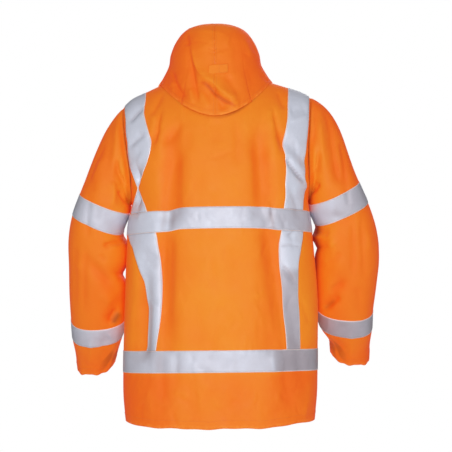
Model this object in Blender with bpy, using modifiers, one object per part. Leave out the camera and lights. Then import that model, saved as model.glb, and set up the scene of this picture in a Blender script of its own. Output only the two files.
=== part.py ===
"""Hooded hi-vis work jacket with reflective tape, open and filled out as it is worn.

Metres, +Z up, +X to the wearer's right and +Y to the wearer's front. The origin is the point
between the shoulders, at the base of the neck, where the wearer holds the jacket up.
Tables are in millimetres and degrees.
"""

from collections import namedtuple

import bmesh
import bpy
import numpy as np

MM = 0.001

# Cloth and seams
WALL = 1.6 * MM
SEAM_GAP = 0.3 * MM
TAPE_WALL = 1.0 * MM
TAPE_WIDTH = 50 * MM
FLAP_WALL = 1.6 * MM
TAB_WALL = 1.6 * MM

# Heights
HEM_Z = -812 * MM
HEM_BAND_FOOT = -697 * MM
HEM_BAND_TOP = HEM_BAND_FOOT + TAPE_WIDTH
CHEST_BAND_FOOT = -374 * MM
CHEST_BAND_TOP = CHEST_BAND_FOOT + TAPE_WIDTH
ARMPIT_Z = -302 * MM

# The body's cross-sections are flattened ovals: 2 would be an ellipse, more is boxier.
OVAL = 2.3
SHOULDER_OVAL = 2.0
ARMHOLE_SWELL = 0.15
ARMHOLE_SWELL_TILT = 60.0

# Neck opening
NECK_HALF = 78 * MM
NECK_BACK_Y = -60 * MM
NECK_BACK_Z = -22 * MM
NECK_FRONT_Y = 78 * MM
NECK_FRONT_Z = -88 * MM

FLAP_HALF = 36 * MM

# rise is how much higher the middle of the cloth hangs than its side seams
Section = namedtuple("Section", "z centre half_width back front rise")
TORSO = [
    Section(-830, -1, 219, 149, 160, -10),
    Section(-750, 0, 227, 151, 163, -2),
    Section(-697, 1, 228, 151, 165, 3),
    Section(-650, 2, 228, 151, 166, 3),
    Section(-530, 5, 227, 150, 168, 3),
    Section(-420, 4, 221, 150, 168, 4),
    Section(-340, 3, 215, 150, 167, 4),
    Section(-302, 5, 208, 150, 165, 3),
]

# Armhole edge from armpit (0) to shoulder tip (1), as seen from behind
Armhole = namedtuple("Armhole", "rise left right")
ARMHOLE = [
    Armhole(0.00, 203, 213),
    Armhole(0.25, 204, 214),
    Armhole(0.50, 212, 214),
    Armhole(0.75, 219, 219),
    Armhole(1.00, 224, 223.5),
]

# Shoulder seam from the neck outwards; the left shoulder hangs lower
Shoulder = namedtuple("Shoulder", "x left right")
SHOULDER = [
    Shoulder(0, 6, 6),
    Shoulder(78, 0, 0),
    Shoulder(135, -22, -19),
    Shoulder(172, -39, -31),
    Shoulder(205, -56, -43),
    Shoulder(224, -74, -54),
]

# Edges of the reflective braces on the back, and how deep the left one is tucked in along its middle
Brace = namedtuple("Brace", "z left_out left_in left_tuck right_in right_out")
BACK_BRACES = [
    Brace(-646, 176.5, 145, 0, 156, 187),
    Brace(-610, 175, 140, 0, 154, 186),
    Brace(-560, 172.5, 134.5, 0, 150, 186),
    Brace(-510, 174, 131.5, 0, 147, 184),
    Brace(-450, 186, 134, 0, 141, 184),
    Brace(-410, 197.5, 139, 0, 141, 191),
    Brace(-374, 209, 142, 0, 145, 196),
    Brace(-324, 204, 161, 3, 150, 197),
    Brace(-300, 196, 171, 16, 152, 199),
    Brace(-273, 187, 178, 21, 155, 203),
    Brace(-245, 195, 166, 16, 157, 202),
    Brace(-205, 203, 153, 2, 156, 205),
    Brace(-155, 208, 157, 0, 158, 210),
    Brace(-110, 211, 163, 0, 165, 215),
    Brace(-45, 218, 167, 0, 169, 219),
]
FRONT_BRACES = [
    Brace(-646, 190, 150, 0, 150, 190),
    Brace(-374, 196, 150, 0, 150, 196),
    Brace(-324, 194, 150, 0, 150, 196),
    Brace(-205, 202, 154, 0, 154, 204),
    Brace(-45, 218, 167, 0, 169, 219),
]

# Folds: soft ridges (depth above 0) and troughs (below 0) along a line on the back or the front
Fold = namedtuple("Fold", "x0 z0 x1 z1 width depth")
BACK_FOLDS = [
    Fold(-165, -430, -178, -670, 21, -6),
    Fold(-172, -490, -178, -670, 20, -8),
    Fold(-175, -550, -178, -670, 19, -8),
    Fold(-118, -400, -118, -640, 22, -7),
    Fold(-105, -160, -98, -330, 24, -8),
    Fold(-135, -110, -128, -200, 18, 5),
    Fold(96, -160, 98, -330, 24, -8),
    Fold(132, -100, 128, -200, 20, 5),
    Fold(128, -400, 118, -640, 24, -7),
    Fold(200, -210, 150, -160, 14, -6),
    Fold(206, -262, 150, -300, 16, 5),
    Fold(0, -420, 10, -640, 60, 4),
]
FRONT_FOLDS = [
    Fold(-110, -150, -104, -330, 26, -7),
    Fold(112, -170, 104, -340, 26, -7),
    Fold(-120, -430, -128, -700, 26, -8),
    Fold(124, -460, 116, -720, 26, -7),
    Fold(-170, -250, -110, -300, 20, -5),
    Fold(172, -240, 112, -300, 20, -5),
]

# Sleeve rings: centre, half widths across and front to back, and the arm's lean out and forward
Station = namedtuple("Station", "x y z across deep lean pitch")
SLEEVES = {
    "left": [
        Station(269, 12, -297, 62, 80, 23, 10),
        Station(287, 21, -346, 63, 80, 24, 11),
        Station(288, 32, -390, 70, 80, 8, 13),
        Station(289, 46, -440, 70, 80, 0, 17),
        Station(291, 67, -505, 70, 76, -1, 23),
        Station(293, 92, -566, 68, 70, -3, 29),
        Station(299, 117, -609, 62, 65, -3, 30),
        Station(303, 138, -645, 54, 59, -8, 30),
        Station(302, 157, -678, 46, 54, -17, 30),
    ],
    "right": [
        Station(278, 12, -279, 62, 80, 26, 10),
        Station(295, 21, -328, 66, 80, 25, 11),
        Station(303, 31, -380, 75, 80, 12, 13),
        Station(308, 44, -430, 76, 80, 2, 17),
        Station(306, 65, -492, 73, 76, -2, 23),
        Station(304, 89, -551, 69, 70, -5, 29),
        Station(309, 114, -594, 64, 65, -5, 30),
        Station(319, 135, -630, 51, 59, -10, 30),
        Station(316, 154, -664, 47, 54, -19, 30),
    ],
}
SLEEVE_BACK_FOLDS = {
    "left": [
        Fold(-231, -95, -226, -260, 16, 4),
        Fold(-248, -190, -224, -300, 14, -5),
        Fold(-276, -150, -296, -268, 14, -4),
        Fold(-302, -440, -250, -500, 16, -4),
        Fold(-262, -571, -232, -528, 14, -6),
    ],
    "right": [
        Fold(240, -120, 246, -260, 16, 4),
        Fold(262, -100, 280, -250, 15, -5),
        Fold(290, -180, 299, -275, 14, -4),
        Fold(240, -330, 300, -352, 14, -4),
        Fold(262, -395, 282, -450, 18, 4),
        Fold(252, -545, 287, -497, 14, -6),
    ],
}
SLEEVE_FRONT_FOLDS = {
    "left": [
        Fold(-222, -250, -290, -320, 18, -6),
        Fold(-250, -470, -335, -436, 16, -7),
        Fold(-245, -512, -345, -494, 14, -5),
    ],
    "right": [
        Fold(232, -240, 300, -306, 18, -6),
        Fold(262, -452, 348, -424, 16, -7),
        Fold(256, -500, 352, -476, 14, -5),
    ],
}
UPPER_BAND = (0, 1)
LOWER_BAND = (5, 6)
SIDE_SIGN = {"left": -1.0, "right": 1.0}

# How the sleeve leaves the armhole, from the shoulder tip (0) round to the armpit (180)
Lead = namedtuple("Lead", "angle out inward down")
LEADS = {
    "left": [
        Lead(0, 0.64, 0.00, 0.66),
        Lead(90, 0.80, 0.22, 0.56),
        Lead(180, 0.98, 0.00, 0.20),
    ],
    "right": [
        Lead(0, 0.98, 0.00, 0.44),
        Lead(90, 0.80, 0.22, 0.56),
        Lead(180, 0.98, 0.00, 0.20),
    ],
}

# Hood profile from the crown (0) to the lower edge (1): side, centre back and front
Hood = namedtuple("Hood", "reach half_width side_z back_y back_z front_y front_z")
HOOD = [
    Hood(0.00, 0, 121, -12, 121, -12, 121),
    Hood(0.20, 48, 117, -56, 116, 42, 121),
    Hood(0.34, 74, 104, -84, 100, 76, 112),
    Hood(0.48, 93, 80, -102, 74, 100, 94),
    Hood(0.62, 105, 52, -111, 38, 114, 62),
    Hood(0.76, 110, 26, -117, -6, 120, 22),
    Hood(0.88, 122, 4, -126, -60, 124, -34),
    Hood(1.00, 135, -14, -138, -114, 120, -104),
]
HOOD_CENTRE = -3 * MM
HOOD_LIFT = 5 * MM
HOOD_LOWER_FOLLOW = 5.0
HOOD_CORNER = 95.0
HOOD_THROAT = 176.0
FOREHEAD_REACH = 0.38
FACE_HANDLES = ((0.62, 0.36), (0.52, 0.85))
HOOD_FOLDS = [
    Fold(-36, -27, 34, -84, 14, 5),
    Fold(-38, -40, 14, -86, 12, -6),
    Fold(-60, 80, -42, -20, 16, -4),
]
HOOD_SEAM_FADE = 0.08

# Hood tab, on the hood's centre back
TAB_X = (-17 * MM, 27 * MM)
TAB_Z = (-14 * MM, 7 * MM)
TAB_LIFT = 2.2 * MM

# Folds fade out towards the seams.
EDGE_FADE_TURN = 14.0
EDGE_FADE_CLIMB = 0.15
LEAD_REACH = 1.05

# Gaps left at the seams, so that two walls that meet at an angle stay apart
SIDE_SEAM_TRIM = 0.25 * MM
SHOULDER_SEAM_TRIM = 0.35 * MM
ARMHOLE_TRIM = 0.5 * MM
SLEEVE_TRIM = 0.9 * MM
ARMPIT_TRIM = 1.6 * MM
ARMPIT_TRIM_NARROWING = 8
TAPE_END_GAP = 0.5 * MM
FLAP_END_GAP = 3 * MM

# How far a tape's inner face stands off the middle of the cloth under it
TAPE_LIFT = WALL / 2 + SEAM_GAP
BRACE_LIFT = WALL / 2 + 0.5 * MM

# Mesh cells between the body's lines: side seam, brace, brace, (flap,) centre and so on
BACK_CELLS = (3, 2, 6, 6, 2, 3)
FRONT_CELLS = (3, 2, 4, 2)
UPPER_ROWS = 11
CAP_ROWS = 7
SLEEVE_CELLS = (2, 2, 2, 2, 2, 2, 2, 2)
HOOD_CELLS = 13
TAB_CELLS = (4, 2)


# ---------------------------------------------------------------- reading the tables


def follow(xs, ys, at):
    """A smooth curve through the points (xs, ys), read at the places in at."""
    xs = np.asarray(xs, float)
    ys = np.asarray(ys, float)
    at = np.clip(np.asarray(at, float), xs[0], xs[-1])
    step = np.diff(xs)
    rise = np.diff(ys) / step
    inner = (rise[:-1] * step[1:] + rise[1:] * step[:-1]) / (step[:-1] + step[1:])
    slope = np.concatenate([rise[:1], inner, rise[-1:]])
    cell = np.clip(np.searchsorted(xs, at, side="right") - 1, 0, len(step) - 1)
    t = (at - xs[cell]) / step[cell]
    start = (2 * t**3 - 3 * t**2 + 1) * ys[cell]
    start += (t**3 - 2 * t**2 + t) * step[cell] * slope[cell]
    end = (3 * t**2 - 2 * t**3) * ys[cell + 1]
    end += (t**3 - t**2) * step[cell] * slope[cell + 1]
    return start + end


def column(table, name):
    return np.array([getattr(row, name) for row in table], float)


def read(table, key, name, at):
    """A column in millimetres followed along another, both given and returned as lengths in metres."""
    return MM * follow(column(table, key), column(table, name), np.asarray(at) / MM)


def smoothstep(value):
    value = np.clip(value, 0.0, 1.0)
    return value * value * (3.0 - 2.0 * value)


# ---------------------------------------------------------------- the body's surface


def tilt_of(climb):
    return np.clip(climb, 0.0, 1.0) * np.pi / 2


def body_frame(climb):
    """Centre and half width of the body's cross-section, as seen from behind."""
    z = ARMPIT_Z + np.minimum(climb, 0.0)
    rise = np.sin(tilt_of(climb))
    left = MM * follow(column(ARMHOLE, "rise"), column(ARMHOLE, "left"), rise)
    right = MM * follow(column(ARMHOLE, "rise"), column(ARMHOLE, "right"), rise)
    above = np.asarray(climb) > 0
    centre = np.where(above, (right - left) / 2, read(TORSO, "z", "centre", z))
    half = np.where(above, (right + left) / 2, read(TORSO, "z", "half_width", z))
    return centre, half


def turn_at(x, climb):
    """The turn, in radians, at which the cross-section at this climb passes x."""
    centre, half = body_frame(climb)
    across = np.clip((x - centre) / half, -1.0, 1.0)
    return np.sign(across) * np.arcsin(np.abs(across) ** (OVAL / 2))


def top_edge(face, x):
    """The shoulder seam and the neckline: y and z above each x."""
    reach = np.abs(x)
    shoulder = np.where(
        x < 0, read(SHOULDER, "x", "left", reach), read(SHOULDER, "x", "right", reach)
    )
    dip = np.sqrt(np.clip(1.0 - (reach / NECK_HALF) ** 2, 0.0, 1.0))
    neck_y = NECK_BACK_Y if face < 0 else NECK_FRONT_Y
    neck_z = NECK_BACK_Z if face < 0 else NECK_FRONT_Z
    return neck_y * dip, np.where(reach < NECK_HALF, neck_z * dip, shoulder)


def body_point(face, turn, climb):
    """A point of the body cloth's middle surface.

    face is -1 for the back and 1 for the front. turn goes round from -90 degrees at the left side
    seam to 90 degrees at the right one. climb is the height over the armpit while it is below 0,
    and from 0 to 1 it goes on up to the shoulder seam and the neckline.
    """
    turn, climb = np.broadcast_arrays(np.asarray(turn, float), np.asarray(climb, float))
    across = np.sign(turn) * np.abs(np.sin(turn)) ** (2 / OVAL)
    centre, half = body_frame(climb)
    x = centre + half * across
    z_low = ARMPIT_Z + np.minimum(climb, 0.0)
    tilt = tilt_of(climb)
    swell_tilt = np.minimum(tilt / np.radians(ARMHOLE_SWELL_TILT), 1.0) * np.pi / 2
    swell = 1.0 + ARMHOLE_SWELL * np.sin(swell_tilt)
    depth = read(TORSO, "z", "back" if face < 0 else "front", z_low)
    oval = np.clip(1.0 - (np.abs(across) / swell) ** OVAL, 0.0, 1.0) ** (1 / OVAL)
    y_low = face * depth * oval
    y_top, z_top = top_edge(face, x)
    y = y_top + (y_low - y_top) * np.cos(tilt) ** (2 / SHOULDER_OVAL)
    z = z_low + (z_top - ARMPIT_Z) * np.sin(tilt) ** (2 / SHOULDER_OVAL)
    z = z + read(TORSO, "z", "rise", z_low) * (np.cos(turn) * np.cos(tilt)) ** 2
    y = np.where(climb > 0, y, y_low)
    return np.stack([x, y, z], axis=-1)


def surface_normals(grid, ring=False):
    """Unit normals of a grid's points, each the mean of the faces around it."""
    columns = np.concatenate([grid[:, -1:], grid, grid[:, :1]], axis=1) if ring else grid
    along = np.gradient(columns, axis=1)
    if ring:
        along = along[:, 1:-1]
    normal = np.cross(along, np.gradient(grid, axis=0))
    length = np.linalg.norm(normal, axis=-1, keepdims=True)
    return normal / np.maximum(length, 1e-12)


def folded(grid, normals, folds, face, strength):
    """Pushes the points out along ridges and in along troughs, on the side that faces face."""
    facing = np.clip(face * normals[..., 1], 0.0, 1.0) ** 0.5 * strength
    push = np.zeros(grid.shape[:-1])
    for fold in folds:
        start = MM * np.array([fold.x0, fold.z0])
        run = MM * np.array([fold.x1, fold.z1]) - start
        place = grid[..., [0, 2]] - start
        t = np.clip(place @ run / (run @ run), 0.0, 1.0)
        distance = np.linalg.norm(place - t[..., None] * run, axis=-1)
        push += MM * fold.depth * np.exp(-((distance / (MM * fold.width)) ** 2))
    return grid + normals * (push * facing)[..., None]


# ---------------------------------------------------------------- rows and columns of the body


def band_rows():
    """The climb of every row, and the row number of each tape edge."""
    stops = [
        ("hem", HEM_Z, 3),
        ("hem_band_foot", HEM_BAND_FOOT, 1),
        ("hem_band_top", HEM_BAND_TOP, 7),
        ("chest_band_foot", CHEST_BAND_FOOT, 2),
        ("chest_band_top", CHEST_BAND_TOP, 1),
        ("armpit", ARMPIT_Z, 0),
    ]
    climbs = []
    number = {}
    for (name, z, cells), following in zip(stops, stops[1:] + stops[-1:]):
        number[name] = len(climbs)
        climbs += [z + (following[1] - z) * i / cells - ARMPIT_Z for i in range(cells)]
    number["armpit"] = len(climbs)
    climbs += [i / UPPER_ROWS for i in range(UPPER_ROWS + 1)]
    number["shoulder"] = len(climbs) - 1
    return np.array(climbs), number


def brace_level(climb):
    """The height at which the brace tables are read for a row."""
    top = MM * BACK_BRACES[-1].z
    return ARMPIT_Z + np.minimum(climb, 0.0) + (top - ARMPIT_Z) * np.sin(tilt_of(climb))


def anchor_turns(table, climbs, with_flap):
    """The turns of the lines that every row passes, from the left side seam to the right one."""
    level = brace_level(climbs)
    edge = np.full(len(climbs), np.pi / 2)
    lines = [-edge]
    for name in ("left_out", "left_in"):
        lines.append(turn_at(-read(table, "z", name, level), climbs))
    centre, _ = body_frame(climbs)
    if with_flap:
        lines.append(turn_at(centre - FLAP_HALF, climbs))
    lines.append(0.0 * edge)
    if with_flap:
        lines.append(turn_at(centre + FLAP_HALF, climbs))
    for name in ("right_in", "right_out"):
        lines.append(turn_at(read(table, "z", name, level), climbs))
    lines.append(edge)
    return lines


def spread(lines, cells):
    """Every row's turns: each stretch between two lines is cut into equal cells."""
    parts = []
    for start, end, count in zip(lines[:-1], lines[1:], cells):
        share = np.arange(count) / count
        parts.append(start[:, None] * (1 - share) + end[:, None] * share)
    parts.append(lines[-1][:, None])
    return np.concatenate(parts, axis=1)


def edge_fade(turns, climbs):
    """1 inside a panel, falling to 0 at its side seams, armholes and shoulder seams."""
    side = smoothstep((np.pi / 2 - np.abs(turns)) / np.radians(EDGE_FADE_TURN))
    top = smoothstep((1.0 - climbs) / EDGE_FADE_CLIMB)
    return side * top[:, None]


def back_grid():
    climbs, number = band_rows()
    turns = spread(anchor_turns(BACK_BRACES, climbs, False), BACK_CELLS)
    grid = body_point(-1, turns, climbs[:, None])
    normals = surface_normals(grid)
    grid = folded(grid, normals, BACK_FOLDS, -1, edge_fade(turns, climbs))
    # The left brace is tucked in along its middle line.
    middle = BACK_CELLS[0] + BACK_CELLS[1] // 2
    tuck = read(BACK_BRACES, "z", "left_tuck", brace_level(climbs))
    grid[:, middle] -= normals[:, middle] * tuck[:, None]
    return grid, number


def front_grid():
    """Both fronts as one grid, from the right side seam to the left one."""
    climbs, number = band_rows()
    cells = FRONT_CELLS + FRONT_CELLS[::-1]
    turns = spread(anchor_turns(FRONT_BRACES, climbs, True), cells)[:, ::-1]
    grid = body_point(1, turns, climbs[:, None])
    normals = surface_normals(grid)
    return folded(grid, normals, FRONT_FOLDS, 1, edge_fade(turns, climbs)), number


# ---------------------------------------------------------------- sleeves


def armhole_point(sign, angle):
    """The armhole's edge: 0 at the shoulder tip, 90 at the back, 180 at the armpit, 270 in front."""
    turn = sign * np.pi / 2
    behind = body_point(-1, turn, np.clip((180.0 - angle) / 180.0, 0.0, 1.0))
    before = body_point(1, turn, np.clip((angle - 180.0) / 180.0, 0.0, 1.0))
    return np.where(angle[..., None] <= 180.0, behind, before)


def sleeve_ring(side, station, angle):
    """A point of the sleeve at a station number, which may lie between two rows of the table."""
    table = SLEEVES[side]
    sign = SIDE_SIGN[side]
    places = np.arange(len(table))
    value = {name: follow(places, column(table, name), station) for name in Station._fields}
    lean = np.radians(value["lean"])
    pitch = np.radians(value["pitch"])
    centre = MM * np.stack([sign * value["x"], value["y"], value["z"]], axis=-1)
    out = np.stack([sign * np.cos(lean), 0.0 * lean, np.sin(lean)], axis=-1)
    down = np.stack(
        [sign * np.sin(lean) * np.cos(pitch), np.sin(pitch), -np.cos(lean) * np.cos(pitch)],
        axis=-1,
    )
    behind = -sign * np.cross(out, down)
    radians = np.radians(angle)[..., None]
    across = MM * value["across"][..., None] * np.cos(radians)
    deep = MM * value["deep"][..., None] * np.sin(radians)
    return centre + across * out + deep * behind, down


def sleeve_cap(side, share, angle):
    """A point between the armhole (share 0) and the first ring (share 1)."""
    sign = SIDE_SIGN[side]
    start = armhole_point(sign, angle)
    end, end_way = sleeve_ring(side, np.zeros_like(angle), angle)
    half_turn = np.minimum(angle, 360.0 - angle)
    front_sign = np.where(angle <= 180.0, 1.0, -1.0)
    leads = LEADS[side]
    out, inward, down = (
        follow(column(leads, "angle"), column(leads, name), half_turn)
        for name in ("out", "inward", "down")
    )
    start_way = np.stack([sign * out, front_sign * inward, -down], axis=-1)
    reach = np.linalg.norm(end - start, axis=-1, keepdims=True) * LEAD_REACH
    t = share[..., None]
    point = (2 * t**3 - 3 * t**2 + 1) * start + (t**3 - 2 * t**2 + t) * reach * start_way
    return point + (3 * t**2 - 2 * t**3) * end + (t**3 - t**2) * reach * end_way


def sleeve_angles(side):
    """The angle of each of a sleeve's columns."""
    angle = 360.0 * np.arange(2 * UPPER_ROWS) / (2 * UPPER_ROWS)
    return angle[::-1] if side == "left" else angle


def sleeve_grid(side):
    """Rows from the armhole to the cuff, and the row number of each station."""
    angle = sleeve_angles(side)
    columns = len(angle)
    rows = [
        sleeve_cap(side, np.full(columns, i / CAP_ROWS), angle) for i in range(CAP_ROWS)
    ]
    number = []
    for place, count in enumerate(SLEEVE_CELLS + (1,)):
        number.append(len(rows))
        for i in range(count):
            rows.append(sleeve_ring(side, np.full(columns, place + i / count), angle)[0])
    grid = np.array(rows)
    normals = surface_normals(grid, ring=True)
    fade = smoothstep(np.arange(len(grid)) / CAP_ROWS)[:, None]
    grid = folded(grid, normals, SLEEVE_BACK_FOLDS[side], -1, fade)
    return folded(grid, normals, SLEEVE_FRONT_FOLDS[side], 1, fade), number


# ---------------------------------------------------------------- hood


def hood_profile(name, reach):
    return MM * follow(column(HOOD, "reach"), column(HOOD, name), reach)


def hood_oval(reach, side_share, back_share):
    """A point of the hood without its contact with the shoulders, for its right half."""
    half = hood_profile("half_width", reach)
    side_z = hood_profile("side_z", reach)
    mid_y = MM * HOOD[0].back_y * (1.0 - reach)
    behind = back_share > 0
    end_y = np.where(behind, hood_profile("back_y", reach), hood_profile("front_y", reach))
    end_z = np.where(behind, hood_profile("back_z", reach), hood_profile("front_z", reach))
    y = mid_y + (end_y - mid_y) * np.abs(back_share)
    z = side_z + (end_z - side_z) * back_share**2
    return np.stack([half * side_share, y, z], axis=-1)


def climb_at(face, x, z):
    """The climb at which the body's upper part has this x and z."""
    _, top = top_edge(face, x)
    rise = np.clip((z - ARMPIT_Z) / (top - ARMPIT_Z), 0.0, 1.0)
    return np.arcsin(rise) * 2 / np.pi


def on_body(face, x, z, lift):
    """The body's surface at x and z, moved out by lift."""
    climb = climb_at(face, x, z)
    nudge = 1e-3
    here = body_point(face, turn_at(x, climb), climb)
    aside = body_point(face, turn_at(x + nudge, climb), climb)
    lower = body_point(face, turn_at(x, climb - nudge), climb - nudge)
    normal = np.cross(aside - here, here - lower) * -face
    normal /= np.linalg.norm(normal, axis=-1, keepdims=True)
    return here + lift * normal


def hood_point(sign, disk_x, disk_y):
    """A point of the hood's middle surface.

    The hood is laid out as a disk: its middle is the crown, its rim the lower edge, and its
    middle line, from -1 behind to 1 in front, the centre seam.
    """
    reach = np.hypot(disk_x, disk_y)
    safe = np.maximum(reach, 1e-9)
    side_share = np.where(reach > 1e-9, disk_x / safe, 0.0)
    back_share = np.where(reach > 1e-9, -disk_y / safe, 1.0)
    point = hood_oval(reach, side_share, back_share)
    rim = hood_oval(np.ones_like(reach), side_share, back_share)
    x = sign * rim[..., 0] + HOOD_CENTRE
    behind = on_body(-1, x, rim[..., 2], HOOD_LIFT)
    before = on_body(1, x, rim[..., 2], HOOD_LIFT)
    contact = np.where(back_share[..., None] > 0, behind, before)
    point[..., 0] = sign * point[..., 0] + HOOD_CENTRE
    rim[..., 0] = x
    return point + (contact - rim) * reach[..., None] ** HOOD_LOWER_FOLLOW


def rim_place(degrees):
    radians = np.radians(degrees)
    return np.stack([np.sin(radians), -np.cos(radians)], axis=-1)


def hood_layout(u, v):
    """Disk place from u, seam to outer edge, and v, back to face, blended from the four edges."""
    u, v = u[..., None], v[..., None]
    seam = np.array([0.0, -1.0]) * (1 - v) + np.array([0.0, FOREHEAD_REACH]) * v
    outer = rim_place(HOOD_CORNER + (HOOD_THROAT - HOOD_CORNER) * v[..., 0])
    back = rim_place(HOOD_CORNER * u[..., 0])
    forehead = np.array([0.0, FOREHEAD_REACH])
    chin = rim_place(HOOD_THROAT)
    corner = rim_place(HOOD_CORNER)
    nape = np.array([0.0, -1.0])
    face = (1 - u) ** 3 * forehead + 3 * u * (1 - u) ** 2 * np.array(FACE_HANDLES[0])
    face = face + 3 * u**2 * (1 - u) * np.array(FACE_HANDLES[1]) + u**3 * chin
    corners = (1 - u) * (1 - v) * nape + u * (1 - v) * corner
    corners = corners + (1 - u) * v * forehead + u * v * chin
    return (1 - u) * seam + u * outer + (1 - v) * back + v * face - corners


def hood_grid(side):
    """Rows from the nape over the crown to the face; columns from the seam to the outer edge."""
    share = np.arange(HOOD_CELLS + 1) / HOOD_CELLS
    u, v = np.meshgrid(share, share)
    place = hood_layout(u, v)
    grid = hood_point(SIDE_SIGN[side], place[..., 0], place[..., 1])
    normals = surface_normals(grid) * SIDE_SIGN[side]
    fade = smoothstep(u / HOOD_SEAM_FADE)
    grid = folded(grid, normals, HOOD_FOLDS, -1, fade)
    return grid if side == "right" else grid[:, ::-1]


def tab_grid():
    x = np.linspace(*TAB_X, TAB_CELLS[0] + 1)[None, :]
    z = np.linspace(*TAB_Z, TAB_CELLS[1] + 1)[:, None]
    order = np.argsort(column(HOOD, "back_z"))
    reach = np.interp(z / MM, column(HOOD, "back_z")[order], column(HOOD, "reach")[order])
    side_share = (x - HOOD_CENTRE) / hood_profile("half_width", reach)
    place_x = reach * np.abs(side_share)
    place_y = -reach * np.sqrt(1.0 - side_share**2)
    grid = hood_point(np.sign(side_share + 1e-9), place_x, place_y)
    return grid + surface_normals(grid) * TAB_LIFT


# ---------------------------------------------------------------- pieces


def pulled(edge, inner, distance):
    way = inner - edge
    length = np.linalg.norm(way, axis=-1, keepdims=True)
    step = np.minimum(np.asarray(distance)[..., None], length / 2)
    return edge + way / np.maximum(length, 1e-9) * step


def trimmed(grid, left=0.0, right=0.0, foot=0.0, top=0.0):
    """The grid with each named border moved inwards by a distance."""
    grid = grid.copy()
    rows = np.ones(grid.shape[0])
    columns = np.ones(grid.shape[1])
    grid[:, 0] = pulled(grid[:, 0], grid[:, 1], left * rows)
    grid[:, -1] = pulled(grid[:, -1], grid[:, -2], right * rows)
    grid[0] = pulled(grid[0], grid[1], foot * columns)
    grid[-1] = pulled(grid[-1], grid[-2], top * columns)
    return grid


def add_cloth(jacket, name, grid, material, wall, offset=0.0, ring=False):
    """A cloth piece: the grid's surface, thickened to a wall."""
    rows, columns = grid.shape[:2]
    points = [tuple(point) for point in grid.reshape(-1, 3)]
    faces = []
    for row in range(rows - 1):
        for place in range(columns if ring else columns - 1):
            after = (place + 1) % columns
            low, high = row * columns, (row + 1) * columns
            faces.append((low + place, low + after, high + after, high + place))
    mesh = bpy.data.meshes.new(name)
    mesh.from_pydata(points, [], faces)
    shape = bmesh.new()
    shape.from_mesh(mesh)
    bmesh.ops.triangulate(shape, faces=shape.faces, quad_method="FIXED")
    shape.to_mesh(mesh)
    shape.free()
    mesh.shade_smooth()
    mesh.materials.append(material)
    piece = bpy.data.objects.new(name, mesh)
    jacket.objects.link(piece)
    solidify = piece.modifiers.new("wall", "SOLIDIFY")
    solidify.thickness = wall
    solidify.offset = offset
    return piece


def make_material(name, colour, roughness, metallic):
    material = bpy.data.materials.new(name)
    material.use_nodes = True
    shader = material.node_tree.nodes["Principled BSDF"]
    shader.inputs["Base Color"].default_value = (*colour, 1.0)
    shader.inputs["Roughness"].default_value = roughness
    shader.inputs["Metallic"].default_value = metallic
    return material


def tape_strip(grid, rows, columns, sides=(0.0, 0.0), ends=(0.0, 0.0), lift=TAPE_LIFT):
    """Cloth over the grid's cells between two rows and two columns, moved out by lift."""
    lifted = grid + surface_normals(grid) * lift
    cut = lifted[rows[0] : rows[1] + 1, columns[0] : columns[1] + 1]
    return trimmed(cut, left=sides[0], right=sides[1], foot=ends[0], top=ends[1])


def line_numbers(cells):
    """The column number of every line that the cells lie between."""
    return [0] + list(np.cumsum(cells))


def add_body_panels(jacket, back, front, number, material):
    side = np.where(np.arange(len(back)) < number["armpit"], SIDE_SEAM_TRIM, ARMHOLE_TRIM)
    middle = sum(FRONT_CELLS)
    closing = SEAM_GAP / 2
    top = SHOULDER_SEAM_TRIM
    pieces = {
        "back": trimmed(back, left=side, right=side, top=top),
        "front_right": trimmed(front[:, : middle + 1], left=side, right=closing, top=top),
        "front_left": trimmed(front[:, middle:], left=closing, right=side, top=top),
    }
    for name, grid in pieces.items():
        add_cloth(jacket, name, grid, material, WALL)


def add_flap(jacket, front, number, orange, tape):
    """The storm flap over the closure, with the bands' tape running on across it."""
    _, _, _, first, _, last = line_numbers(FRONT_CELLS + FRONT_CELLS[::-1])[:6]
    columns = (first, last)
    rows = (0, number["shoulder"])
    flap = tape_strip(front, rows, columns, ends=(FLAP_END_GAP, FLAP_END_GAP))
    add_cloth(jacket, "storm_flap", flap, orange, FLAP_WALL, offset=1.0)
    lift = TAPE_LIFT + FLAP_WALL + SEAM_GAP
    for band in ("chest", "hem"):
        rows = (number[band + "_band_foot"], number[band + "_band_top"])
        sides = (TAPE_END_GAP, TAPE_END_GAP)
        grid = tape_strip(front, rows, columns, sides=sides, lift=lift)
        add_cloth(jacket, f"tape_{band}_flap", grid, tape, TAPE_WALL, offset=1.0)


def add_bands(jacket, back, front, number, tape):
    """The chest and hem bands on the back and on both fronts."""
    last = back.shape[1] - 1
    lines = line_numbers(FRONT_CELLS + FRONT_CELLS[::-1])
    seam = SIDE_SEAM_TRIM
    for band in ("chest", "hem"):
        rows = (number[band + "_band_foot"], number[band + "_band_top"])
        pieces = {
            "back": tape_strip(back, rows, (0, last), sides=(seam, seam)),
            "front_right": tape_strip(front, rows, (0, lines[3]), sides=(seam, TAPE_END_GAP)),
            "front_left": tape_strip(front, rows, (lines[5], last), sides=(TAPE_END_GAP, seam)),
        }
        for place, grid in pieces.items():
            add_cloth(jacket, f"tape_{band}_{place}", grid, tape, TAPE_WALL, offset=1.0)


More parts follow.
